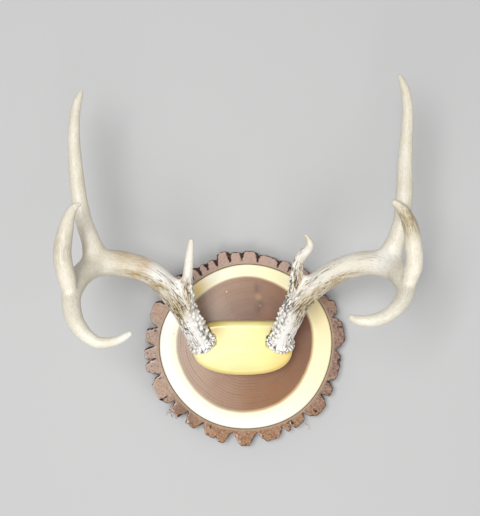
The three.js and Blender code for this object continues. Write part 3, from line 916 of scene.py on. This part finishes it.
# What both antlers share.
antlerForm = {
    "voxel": 0.73,
    "stock": 1.2,  # how much thicker the tubes are that the skin is shrunk onto
    "rootSlimming": 0.28,  # of a tine where it leaves the beam
    "rootLength": 22,
    "stubRadius": 10.2,
    "stubLength": 11.5,
    "collar": [(0.4, 16), (4, 16.5), (8.5, 15)],  # stock for the burr: height and radius
    "burrRing": 12.8,
    "burrTube": 4.7,
    "burrLift": 4.5,
    "seatRadius": 18.0,
    "seatReach": 24.0,
    "relief": 1.0,
    "browCrest": {"left": 48, "right": 80},  # how far up the brow tines the ribs run
    "outward": (0.75, -0.45, -0.45),  # the right beam's outer side
    # patches of weathered tone, painted highlight and painted shade, the one at (164, 152, 173) a painted
    # shadow of the front tine: centre, reach, share and colour
    "patches": [
        ((-76, 50, 110), 30, 0.95, (0.64, 0.51, 0.28)), ((-93, 73, 125), 24, 0.6, (0.58, 0.47, 0.27)),
        ((-92, 92, 142), 28, 1.3, (0.95, 0.93, 0.89)), ((112, 100, 160), 34, 0.55, (0.92, 0.89, 0.81)),
        ((-114, 102, 141), 18, 1.0, (0.56, 0.37, 0.18)), ((-121, 91, 143), 11, 0.9, (0.55, 0.36, 0.18)),
        ((-134, 112, 148), 22, 0.9, (0.52, 0.38, 0.20)), ((68, 60, 118), 32, 0.8, (0.64, 0.53, 0.30)),
        ((56, 38, 92), 18, 0.5, (0.58, 0.48, 0.28)), ((161, 147, 236), 30, 1.3, (0.34, 0.27, 0.14)),
        ((-183, 118, 238), 36, 0.9, (0.50, 0.45, 0.34)), ((164, 152, 173), 22, 0.4, (0.45, 0.41, 0.31)),
        ((-63, 105, 135), 34, 1.0, (0.95, 0.92, 0.85)), ((-122, 30, 240), 18, 0.9, (0.95, 0.93, 0.88)),
        ((150, 105, 170), 28, 1.1, (0.95, 0.93, 0.87)), ((60, 104, 132), 26, 0.35, (0.74, 0.66, 0.42)),
    ],
    "tints": {
        "ivory": (0.75, 0.695, 0.56), "ivoryPale": (0.81, 0.765, 0.65), "freckle": (0.54, 0.48, 0.37),
        "white": (0.95, 0.93, 0.89), "tan": (0.58, 0.45, 0.28), "streakDark": (0.48, 0.39, 0.27),
        "streakPale": (0.93, 0.90, 0.84), "speck": (0.30, 0.24, 0.17), "dirtAndShade": (0.42, 0.305, 0.14),
        "stainLow": (0.062, 0.045, 0.026), "stainHigh": (0.13, 0.085, 0.042),
    },
}

# For each limb: how far along it its own piece begins, its fillet, and stations [x, y, z, radius].
leftAntler = {
    "beam": (0, 0, [
        [-51, 6, 50, 13.6], [-59, 23, 66, 14], [-67, 40, 83, 13.6], [-78, 61, 100, 14],
        [-94, 81, 115, 13.7], [-110, 94, 128, 13.7], [-128, 100.5, 138, 14], [-147, 103.5, 147, 13.9],
        [-163, 101, 157, 13.2], [-173, 93, 174, 12], [-178.5, 82, 195, 11.2], [-179.5, 69, 214, 9.9],
        [-176, 55, 228, 9.3], [-170, 43, 237, 8.6], [-160, 32, 243, 7.3], [-148, 25, 245, 6.2],
        [-133, 25.5, 243, 4.9], [-123, 29.5, 240, 4], [-117.5, 33, 238, 2.8],
    ]),
    "brow_tine": (38, 16, [
        [-69, 54, 97, 9], [-67, 69, 109, 7.5], [-66, 83, 119, 5.8], [-64.4, 99, 129, 5.1],
        [-62.8, 111, 137, 4.5], [-61.3, 121, 143.5, 3.7], [-60.6, 127, 147, 2.7],
    ]),
    "tall_tine": (22, 28, [
        [-162, 101, 157, 11], [-165, 117, 160, 11.5], [-168, 128, 162, 10], [-173.5, 144, 163, 9.2],
        [-178.5, 164, 163, 8.7], [-182, 187, 162, 8.1], [-185, 214, 159, 7.3], [-187, 242, 155, 6.4],
        [-186, 266, 151, 5.3], [-183.9, 280, 148.5, 4.5], [-181.8, 286, 147, 3.5], [-180.9, 289.5, 146, 2.5],
    ]),
    "front_tine": (24, 12, [
        [-180.5, 68, 212, 9], [-182, 83, 220, 9.3], [-184.5, 99, 226, 9.4], [-186, 112, 229, 9.2],
        [-184.8, 124, 230, 8.8], [-182.6, 136, 229.5, 7.9], [-180, 148.5, 227, 6.4],
        [-176.8, 157.3, 224, 4.9], [-173, 161.3, 222.5, 3.5], [-170.6, 162.7, 221.8, 2.3],
    ]),
}
rightAntler = {
    "beam": (0, 0, [
        [39.5, 6, 50, 13], [45, 23, 66, 13.2], [51, 39, 82, 13.8], [58, 56, 98, 14.2],
        [70, 71, 112, 13.8], [84.5, 83.5, 125, 13.2], [101, 94.5, 136, 13.2], [116, 100.5, 146, 13.2],
        [132, 103.3, 155, 13.2], [147, 101.5, 163, 13.3], [158, 95, 178, 12.6], [162, 86, 198, 11.3],
        [162.5, 76.5, 213, 9.7], [158.3, 67.6, 225, 8.5], [149.8, 58.8, 234, 7.6], [137, 50.3, 240, 7],
        [121, 46.2, 244, 6.2], [109, 47.2, 243, 4.9], [103.8, 49.2, 241.5, 3.3],
    ]),
    "brow_tine": (46, 13, [
        [58, 54, 98, 9], [56, 70, 109, 8.2], [56, 84, 118, 7.2], [56.2, 95, 126, 6.5],
        [58.5, 107, 133, 6], [63.2, 114, 138.5, 5.6], [67.8, 118.8, 143, 4.7], [69.2, 123.3, 146.5, 4.1],
        [67, 128.5, 149, 3.2], [64.4, 132.7, 151, 2],
    ]),
    "tall_tine": (22, 28, [
        [150, 101, 163, 11], [155, 115, 165, 11.5], [161.5, 130, 166, 10.2], [165.8, 146, 166, 9.6],
        [168, 163, 166, 9.1], [169.2, 184, 165, 8.9], [170.3, 210, 162, 8.2], [172.2, 234, 159, 7.1],
        [174, 257, 156, 6.4], [174.6, 273, 153, 5.9], [172.8, 290, 150, 5.1], [169.6, 301.3, 147.5, 3.7],
        [167.4, 306.3, 146, 2.6],
    ]),
    "front_tine": (20, 12, [
        [163.5, 77, 211, 9], [166.5, 89, 218, 9.1], [169.5, 105, 223, 8.8], [168, 120, 226, 8.6],
        [165.6, 136, 228, 8.1], [161.5, 148, 229, 7], [156, 157.4, 230, 6], [151, 162, 231, 4.6],
        [148, 164.2, 231, 3.4],
    ]),
}


def catmullRom(stations, perSpan=24):
    # The curve that the frame's limbs follow: centripetal in place, plain in radius.
    stations = np.array(stations, float)
    ends = np.vstack([2 * stations[0] - stations[1], stations, 2 * stations[-1] - stations[-2]])
    t = np.linspace(0, 1, perSpan, endpoint=False)[:, None]
    curve = []
    for i in range(len(stations) - 1):
        p = ends[i:i + 4, :3]
        d0, d1, d2 = np.sqrt(np.linalg.norm(np.diff(p, axis=0), axis=1))
        out = ((p[1] - p[0]) / d0 - (p[2] - p[0]) / (d0 + d1) + (p[2] - p[1]) / d1) * d1
        into = ((p[2] - p[1]) / d1 - (p[3] - p[1]) / (d1 + d2) + (p[3] - p[2]) / d2) * d1
        r = ends[i:i + 4, 3]
        start = np.append(p[1], r[1])
        end = np.append(p[2], r[2])
        out = np.append(out, (r[2] - r[0]) / 2)
        into = np.append(into, (r[3] - r[1]) / 2)
        curve.append(start * (2 * t**3 - 3 * t**2 + 1) + out * (t**3 - 2 * t**2 + t)
                     + end * (3 * t**2 - 2 * t**3) + into * (t**3 - t**2))
    return np.vstack(curve + [stations[-1:]])


class Branch:
    # One limb of an antler as a line with a radius: its skin, and where a point lies along it.
    def __init__(self, stations, fillet=0, step=1.0):
        self.fillet = fillet
        curve = catmullRom(stations)
        arc = np.append(0, np.cumsum(np.linalg.norm(np.diff(curve[:, :3], axis=0), axis=1)))
        self.length = arc[-1]
        self.arc = np.linspace(0, arc[-1], int(arc[-1] / step) + 1)
        even = np.array([np.interp(self.arc, arc, column) for column in curve.T]).T
        self.line = even[:, :3]
        self.radius = even[:, 3]
        if fillet:
            root = np.clip(1 - self.arc / antlerForm["rootLength"], 0, 1)
            self.radius = self.radius * (1 - antlerForm["rootSlimming"] * root)
        self.slope = np.gradient(self.radius, self.arc)
        ahead = np.gradient(self.line, self.arc, axis=0)
        self.ahead = ahead / np.linalg.norm(ahead, axis=1)[:, None]
        side = np.cross(self.ahead[0], [0.31, 0.17, 0.93])
        sides = []
        for forward in self.ahead:
            side = side - forward * (side @ forward)
            side /= np.linalg.norm(side)
            sides.append(side)
        self.side = np.array(sides)
        self.up = np.cross(self.ahead, self.side)

    def at(self, distance):
        i = int(round(distance / self.length * (len(self.arc) - 1)))
        return self.line[i], self.ahead[i], self.radius[i]

    def skin(self, places):
        # For each place: distance to the skin, way out, distance along, and its place on the unrolled limb.
        near = np.empty(len(places), int)
        square = (self.line**2).sum(1)
        for start in range(0, len(places), 20000):
            part = places[start:start + 20000]
            near[start:start + 20000] = (square - 2 * part @ self.line.T).argmin(1)
        offset = places - self.line[near]
        forward = self.ahead[near]
        slide = (offset * forward).sum(1)
        slide = np.where(near == 0, np.maximum(slide, 0), slide)
        slide = np.where(near == len(self.line) - 1, np.minimum(slide, 0), slide)
        away = offset - forward * slide[:, None]
        reach = np.linalg.norm(away, axis=1)
        out = away / np.maximum(reach, 1e-6)[:, None]
        gap = reach - self.radius[near] - self.slope[near] * slide
        along = self.arc[near] + slide
        girth = np.maximum(self.radius[near], 5)
        unrolled = [(out * way[near]).sum(1) * girth for way in (self.side, self.up)]
        return gap, out, along, np.array([*unrolled, along]).T

    def tube(self, extra, sides=16):
        # A plain closed tube, as stock for the remesh.
        rows = np.linspace(0, len(self.line) - 1, max(3, int(self.length / 4))).astype(int)
        flat = ringAt(around(sides), 1, 0)[:, :2]
        rings = [self.line[i] + (self.radius[i] + extra) * (flat @ [self.side[i], self.up[i]]) for i in rows]
        return closed(rings, self.line[0], self.line[-1] + self.ahead[-1] * self.radius[-1])


def burrSkin(places, base, axis):
    # A lumpy ring round the foot of the beam.
    offset = places - base
    height = offset @ axis
    flat = offset - np.outer(height, axis)
    reach = np.linalg.norm(flat, axis=1)
    way = flat / np.maximum(reach, 1e-6)[:, None]
    right = np.cross(axis, [0.2, 0.3, 0.9])
    right /= np.linalg.norm(right)
    angle = np.arctan2(way @ np.cross(axis, right), way @ right)
    ring = antlerForm["burrRing"] * (1 + 0.035 * np.cos(3 * angle + 1) + 0.03 * np.cos(5 * angle + 2))
    across = reach - ring
    rise = height - antlerForm["burrLift"]
    gap = np.hypot(across, rise)
    out = (way * across[:, None] + np.outer(rise, axis)) / np.maximum(gap, 1e-6)[:, None]
    return gap - antlerForm["burrTube"], out


def melted(first, second, reach):
    # Two skins joined with a fillet where they face each other; the share says how much is the second.
    reach = 1.5 + reach * np.clip((1 - (first[1] * second[1]).sum(1)) / 2, 0, 1)
    share = np.clip(0.5 + 0.5 * (first[0] - second[0]) / reach, 0, 1)
    gap = first[0] * (1 - share) + second[0] * share - reach * share * (1 - share)
    out = first[1] * (1 - share)[:, None] + second[1] * share[:, None]
    return (gap, out / np.maximum(np.linalg.norm(out, axis=1), 0.3)[:, None]), share


def antlerSkin(places, branches, browCrest):
    # The whole antler's skin at each place, and marks: distance along, unrolled place, burr, and how
    # far from a fork.
    base, axis, _ = branches["beam"].at(0)
    gap, out, along, grain = branches["beam"].skin(places)
    skin, _ = melted((gap, out), branches["stub"].skin(places)[:2], 0.8)
    skin, burrShare = melted(skin, burrSkin(places, base, axis), 3.0)
    calm = np.ones(len(places))
    for name in ("brow_tine", "tall_tine", "front_tine"):
        gap, out, own, ownGrain = branches[name].skin(places)
        skin, part = melted(skin, (gap, out), branches[name].fillet)
        start = branches["beam"].skin(branches[name].line[:1])[2][0]
        age = start + (45 * (own / browCrest) ** 3 if name == "brow_tine" else own * 1.2)
        along = along * (1 - part) + age * part
        grain = np.where((part > 0.5)[:, None], ownGrain + [37, 11, 500], grain)
        calm = np.minimum(calm, np.clip(np.abs(part - 0.5) / 0.25, 0, 1))
    return skin, {"along": along, "grain": grain, "burr": burrShare, "calm": calm}


def boneRelief(graph, marks, place):
    # The bone's relief in millimetres, its dark stains with painted shade between the pearls, and its dirt
    # with painted shade in the crevices; meshes and materials share it.
    grain, along, flank, burr, calm = (marks[name] for name in ("grain", "along", "flank", "burr", "calm"))

    def stretched(wide, long):
        return graph.scaled(grain, (wide, wide, long))

    def grooves(wide, long, lines):
        # Long flowing lines: 0 in them, 1 midway between two.
        cycle = graph.maths("FRACT", graph.noise(stretched(wide, long), 1.0, 1.0) * lines)
        return ((cycle - 0.5) * 2).absolute()

    patchy = graph.noise(stretched(0.07, 0.02), 1.0, 1.0) - 0.5
    dashes = graph.ramp(graph.noise(stretched(0.42, 0.11), 1.0, 1.0), 0.38, 0.52)
    swirl = graph.shifted(graph.noise(stretched(0.16, 0.07), 1.0, 1.0, 0.5, 1), (-0.5, -0.5, -0.5))
    winding = graph.shifted(grain, graph.scaled(swirl, (2.4, 2.4, 5)))
    crevice = graph.cells(graph.scaled(winding, (0.48, 0.48, 0.08)), 1.0, "DISTANCE_TO_EDGE")
    knob = graph.cells(graph.scaled(winding, (0.27, 0.27, 0.2)), 1.0, "DISTANCE_TO_EDGE")
    pearl = graph.cells(stretched(0.21, 0.17), 1.0)
    pit = graph.cells(stretched(0.24, 0.2), 1.0)
    furrow = grooves(0.2, 0.016, 7)
    notBurr = 1 - burr
    outer = graph.ramp(flank + patchy * 0.8, -0.25, 0.2)
    bare = (1 - outer) * graph.ramp(along + patchy * 50, 45, 80, 1.0, 0.0)
    ribbed = graph.ramp(along + patchy * 60, 78, 125, 1.0, 0.0) * (1 - bare) * notBurr * calm
    guttered = graph.ramp(along + patchy * 110, 120, 215, 1.0, 0.0) * graph.ramp(along, 50, 95) * calm
    guttered = guttered * graph.ramp(patchy, 0.12, 0.0)
    pearled = graph.ramp(flank, -0.3, -0.75) * graph.ramp(along, 75, 95, 1.0, 0.0) * notBurr
    pitted = bare * notBurr * graph.ramp(pit, 0.10, 0.24, 1.0, 0.0)
    height = (graph.ramp(crevice, 0, 0.25) - 0.75) * 1.1 * ribbed
    height = height - graph.ramp(furrow, 0, 0.35, 1.0, 0.0) * 0.6 * guttered * dashes - pitted * 0.5
    height = height + graph.ramp(pearl, 0.12, 0.5, 1.0, 0.0) * 2.2 * pearled
    height = height + (graph.ramp(knob, 0, 0.25) - 0.6) * 1.7 * burr
    height = height + (graph.noise(place, 0.12, 1.0) - 0.5) * 0.5
    darkRibs = ribbed * graph.ramp(crevice, 0.05, 0.17, 1.0, 0.0) * dashes
    darkGutters = guttered * graph.ramp(furrow, 0.04, 0.24, 1.0, 0.0) * dashes
    darkBurr = burr * graph.ramp(knob, 0.03, 0.14, 1.0, 0.0) * graph.ramp(dashes, 0, 1, 0.25, 1.0)
    turned = flank + patchy * 0.5
    front = graph.ramp(turned, -0.62, -0.25) * graph.ramp(turned, 0.65, 0.3, 0.7, 1.0)
    front = front * graph.ramp(along + patchy * 30, 36, 70, 0.15, 1.0)
    front = front * graph.ramp(graph.noise(stretched(1.5, 0.13), 1.0, 2.0), 0.42, 0.56, 0.3, 1.15)
    # a tan, deepest in the rib crevices and between the burr's knobs: partly dirt, partly painted shade
    dirtAndShade = (ribbed.most(guttered) * front * graph.ramp(crevice, 0.40, 0.05, 0.3, 1.0)
            + burr * outer * graph.ramp(knob, 0.3, 0.05) * 0.4)
    # the dark between the pearls is painted shade, joined to the stains
    between = pearled * graph.ramp(pearl, 0.5, 0.7) * graph.ramp(dashes, 0, 1, 0.3, 0.9)
    stainsAndShade = darkRibs.most(darkGutters).most(darkBurr).most(pitted * 0.85).most(between)
    return height, stainsAndShade, dirtAndShade


def reliefTree():
    # Pushes the relief out of a smooth antler.
    graph, wires = geometryTree("antlerRelief", {"relief": antlerForm["relief"]})
    marks = {}
    for name in ("grain", "along", "flank", "burr", "calm"):
        kind = {"data_type": "FLOAT_VECTOR" if name == "grain" else "FLOAT"}
        marks[name] = graph.add("GeometryNodeInputNamedAttribute", kind, {"Name": name})
    place = graph.inMillimetres(graph.add("GeometryNodeInputPosition"))
    height, _, _ = boneRelief(graph, marks, place)
    offset = graph.resized(graph.add("GeometryNodeInputNormal"), height * wires["relief"] * mm)
    moved = graph.add("GeometryNodeSetPosition", {}, {"Geometry": wires["Geometry"], "Offset": offset})
    graph.add("NodeGroupOutput", {}, {"Geometry": moved})
    return graph


def floodFrom(seed):
    # Every point that edges join to this one.
    found = {seed}
    front = [seed]
    while front:
        vert = front.pop()
        for edge in vert.link_edges:
            other = edge.other_vert(vert)
            if other not in found:
                found.add(other)
                front.append(other)
    return found


def nearestLoop(seam, point):
    # Of the edges that a plane cut, those joined to the one nearest to the point.
    byVert = {}
    for edge in seam:
        for vert in edge.verts:
            byVert.setdefault(vert, []).append(edge)
    front = [min(byVert, key=lambda v: (v.co - point).length_squared)]
    loop = set()
    while front:
        for edge in byVert[front.pop()]:
            if edge not in loop:
                loop.add(edge)
                front += edge.verts
    return list(loop)


def cutAtForks(mesh, branches, forks):
    # Parts the antler at flat planes across its tines; returns a bmesh for each piece.
    whole = bmesh.new()
    whole.from_mesh(mesh)
    tips = {}
    for name, forkAt in forks.items():
        point, normal, radius = branches[name].at(forkAt)
        point = Vector(point * mm)
        normal = Vector(normal)
        reach = (radius + 9) * mm
        near = [v for v in whole.verts if (v.co - point).length < reach]
        faces = {face for v in near for face in v.link_faces}
        edges = {edge for face in faces for edge in face.edges}
        verts = {v for face in faces for v in face.verts}
        cut = bmesh.ops.bisect_plane(whole, geom=[*verts, *edges, *faces], plane_co=point, plane_no=normal)
        seam = [item for item in cut["geom_cut"] if isinstance(item, bmesh.types.BMEdge)]
        bmesh.ops.split_edges(whole, edges=nearestLoop(seam, point))
        tips[name] = Vector(branches[name].line[-1] * mm)
    whole.verts.ensure_lookup_table()
    owner = whole.verts.layers.int.new("owner")
    for index, name in enumerate(forks, 1):
        tip = min(whole.verts, key=lambda v: (v.co - tips[name]).length_squared)
        for vert in floodFrom(tip):
            vert[owner] = index
    pieces = {}
    for index, name in enumerate(["beam", *forks]):
        piece = whole.copy()
        mark = piece.verts.layers.int["owner"]
        bmesh.ops.delete(piece, geom=[v for v in piece.verts if v[mark] != index], context="VERTS")
        pieces[name] = piece
    whole.free()
    return pieces


def cappedPiece(name, piece):
    # Caps the cuts, and keeps the uncut antler's shading right up to them.
    rim = [edge for edge in piece.edges if edge.is_boundary]
    caps = bmesh.ops.holes_fill(piece, edges=rim, sides=0)["faces"]
    bmesh.ops.triangulate(piece, faces=caps)
    soft = piece.verts.layers.float_vector["softNormal"]
    rimVerts = {v for edge in rim if edge.is_valid for v in edge.verts}
    normals = []
    for face in piece.faces:
        face.smooth = True
        isCap = all(v in rimVerts for v in face.verts)
        normals += [face.normal.copy() if isCap else v[soft].normalized() for v in face.verts]
    mesh = bpy.data.meshes.new(name)
    piece.to_mesh(mesh)
    piece.free()
    mesh.normals_split_custom_set(normals)
    return newObject(name, mesh)


def seated(places, base, axis):
    # Keeps the burr above the block's seat and inside its rim.
    height = (places - base) @ axis
    flat = np.linalg.norm(places - base - np.outer(height, axis), axis=1)
    nearby = flat < antlerForm["seatReach"]
    under = nearby & (flat > antlerForm["stubRadius"] + 0.4) & (height < 0.1)
    places = places - np.outer(np.where(under, height - 0.1, 0), axis)
    away = places - base - np.outer(height, axis)
    over = np.maximum(1 - antlerForm["seatRadius"] / np.maximum(flat, 1), 0)
    return places - away * (over * nearby * (height < 14))[:, None]


def buildAntler(side, antler, look, tree):
    branches = {name: Branch(stations, fillet) for name, (_, fillet, stations) in antler.items()}
    base, axis, _ = branches["beam"].at(0)

    def footing(rows):
        return Branch([[*(base + axis * height), radius] for height, radius in rows])

    stub = antlerForm["stubRadius"]
    branches["stub"] = footing([(-antlerForm["stubLength"], stub), (-4, stub), (3, stub)])
    stock = [branches[name].tube(antlerForm["stock"]) for name in antler]
    stock += [branches["stub"].tube(0), footing(antlerForm["collar"]).tube(0)]
    verts, faces = np.empty((0, 3)), []
    for more, moreFaces in stock:
        faces += [[corner + len(verts) for corner in face] for face in moreFaces]
        verts = np.vstack([verts, more])
    whole = newObject(side + "Antler", meshFrom(side + "Antler", verts * mm, faces))
    voxelRemesh(whole, antlerForm["voxel"])
    for passes in (2, 3):
        smooth = whole.modifiers.new("relax", "SMOOTH")
        smooth.iterations = 4
        evaluated(whole)
        places = positions(whole.data) / mm
        for _ in range(passes):
            skin, marks = antlerSkin(places, branches, antlerForm["browCrest"][side])
            places = places - skin[1] * skin[0][:, None]
        setPositions(whole.data, places * mm)
    outward = np.array(antlerForm["outward"]) * [-1 if side == "left" else 1, 1, 1]
    marks["flank"] = skin[1] @ (outward / np.linalg.norm(outward))
    marks["burr"] = marks["burr"] * ((places - base) @ axis > -0.6)
    for name, values in marks.items():
        setAttribute(whole.data, name, "FLOAT_VECTOR" if name == "grain" else "FLOAT", values)
    growOn(whole, tree, antlerForm)
    mesh = whole.data
    setPositions(mesh, insideFrame(seated(positions(mesh) / mm, base, axis)) * mm)
    setAttribute(mesh, "softNormal", "FLOAT_VECTOR", vertexNormals(mesh))
    forks = {name: forkAt for name, (forkAt, _, _) in antler.items() if name != "beam"}
    for name, piece in cutAtForks(mesh, branches, forks).items():
        thing = cappedPiece(side + name.title().replace("_", ""), piece)
        finishPiece(thing, look, "antler", f"{side}_{name}")
    bpy.data.objects.remove(whole)


def antlerLook():
    tint = antlerForm["tints"]
    made, graph, surface = material("antlerBone", 0.45)
    place, (x, _, _) = graph.objectPlace()
    marks = {name: attribute(graph, name) for name in ("along", "flank", "burr", "calm")}
    marks["grain"] = attribute(graph, "grain", "Vector")
    _, stainsAndShade, dirtAndShade = boneRelief(graph, marks, place)
    along, flank = marks["along"], marks["flank"]

    def fibrous(wide, long, detail, roughness=0.5):
        return graph.noise(graph.scaled(marks["grain"], (wide, wide, long)), 1.0, detail, roughness)

    cloud = graph.noise(place, 0.03, 3.0, 0.6)
    drift = (cloud - 0.5) * 90
    streak = fibrous(1.2, 0.05, 2.0) - 0.5
    freckle = fibrous(0.8, 0.25, 3.0, 0.6)
    strand = fibrous(0.9, 0.11, 3.0, 0.65)
    stranded = graph.ramp(strand, 0.40, 0.56, 0.35, 1.0)
    speck = graph.ramp(graph.cells(place, 1.1), 0.16, 0.3, 1.0, 0.0)
    white = graph.ramp(along + drift * 0.7, 75, 160, 1.0, 0.0)
    outerMid = graph.ramp(along + drift * 0.6, 95, 130) * graph.ramp(along + drift, 270, 190)
    tan = outerMid * graph.ramp(flank, -0.25, 0.55) * graph.ramp(x, 40, -60, 0.2, 0.75)
    tan = tan * graph.ramp(strand, 0.40, 0.58, 0.35, 1.0)
    speckled = speck * graph.ramp(cloud, 0.45, 0.6) * graph.ramp(along, 60, 110) * 0.4
    weatheringAndPaintedLight = [((graph.near(place, centre, reach) * share * stranded).clamped(), shade)
                 for centre, reach, share, shade in antlerForm["patches"]]
    colour = graph.layered(
        graph.mix(graph.ramp(cloud, 0.35, 0.65), tint["ivory"], tint["ivoryPale"]),
        (graph.ramp(freckle, 0.45, 0.62) * 0.35, tint["freckle"]),
        (white * 0.95, tint["white"]),
        (tan.clamped(), tint["tan"]),
        *weatheringAndPaintedLight,
        (graph.ramp(streak, 0.05, 0.25) * 0.22, tint["streakDark"]),
        (graph.ramp(streak, -0.05, -0.25) * 0.25, tint["streakPale"]),
        (speckled, tint["speck"]),
        ((dirtAndShade * graph.ramp(strand, 0.36, 0.54, 0.6, 1.4)).clamped(), tint["dirtAndShade"]),
        (stainsAndShade * 0.92, graph.mix(graph.ramp(along, 80, 140), tint["stainLow"], tint["stainHigh"])))
    connect(graph, colour, surface, "Base Color")
    connect(graph, graph.ramp(stainsAndShade, 0.0, 1.0, 0.4, 0.7), surface, "Roughness")
    bumped(graph, surface, graph.noise(place, 1.6, 3.0) + streak * 0.6, 0.35, 0.4)
    return made


# The floor, the light and the camera, in metres.
stage = {
    "floorSize": 40,
    "floorTint": (0.55, 0.55, 0.55, 1),
    "sky": 0.3,
    "lamps": {  # place, size and power
        "keyLight": ((-0.36, 0.27, 1.98), 0.6, 23),
        "fillLight": ((1.1, -0.3, 1.6), 1.6, 6),
        "topLight": ((-0.2, -1.05, 1.95), 1.1, 14),
    },
    "aim": (0, 0.05, 0.1),
    "cameraPlace": (-0.0072, 0.1086, 1.2),
    "cameraLens": 67.37,
}


def buildStage():
    bpy.ops.mesh.primitive_plane_add(size=stage["floorSize"], location=(0, 0, -0.0005))
    floor = bpy.context.object
    floor.name = "floor"
    made, _, surface = material("paleFloor", 0.9)
    surface.inputs["Base Color"].default_value = stage["floorTint"]
    floor.data.materials.append(made)
    for name, (place, size, power) in stage["lamps"].items():
        lamp = bpy.data.lights.new(name, "AREA")
        lamp.size = size
        lamp.energy = power
        thing = newObject(name, lamp)
        thing.location = place
        thing.rotation_euler = (Vector(stage["aim"]) - Vector(place)).to_track_quat("-Z", "Y").to_euler()
    world = bpy.data.worlds.new("studio")
    world.use_nodes = True
    sky = world.node_tree.nodes["Background"]
    sky.inputs["Color"].default_value = (1, 1, 1, 1)
    sky.inputs["Strength"].default_value = stage["sky"]
    bpy.context.scene.world = world
    bpy.context.scene.view_settings.view_transform = "Standard"
    print("stage done")


def buildCamera():
    camera = bpy.data.cameras.new("camera")
    camera.sensor_width = 36
    camera.lens = stage["cameraLens"]
    camera.clip_start = 0.01
    thing = newObject("camera", camera)
    thing.location = stage["cameraPlace"]
    bpy.context.scene.camera = thing
    print("camera done")


buildCamera()
buildStage()
buildWood(walnutLook())
buildBark(barkLook())
buildFibres(fibreLook())
antlers = {"left": leftAntler, "right": rightAntler}
seats = {side: Branch(antler["beam"][-1]).at(0)[:2] for side, antler in antlers.items()}
buildBlock(blockLook(), seats)
buildHardware(steelLook())
bone = antlerLook()
relief = reliefTree()
for side, antler in antlers.items():
    buildAntler(side, antler, bone, relief)
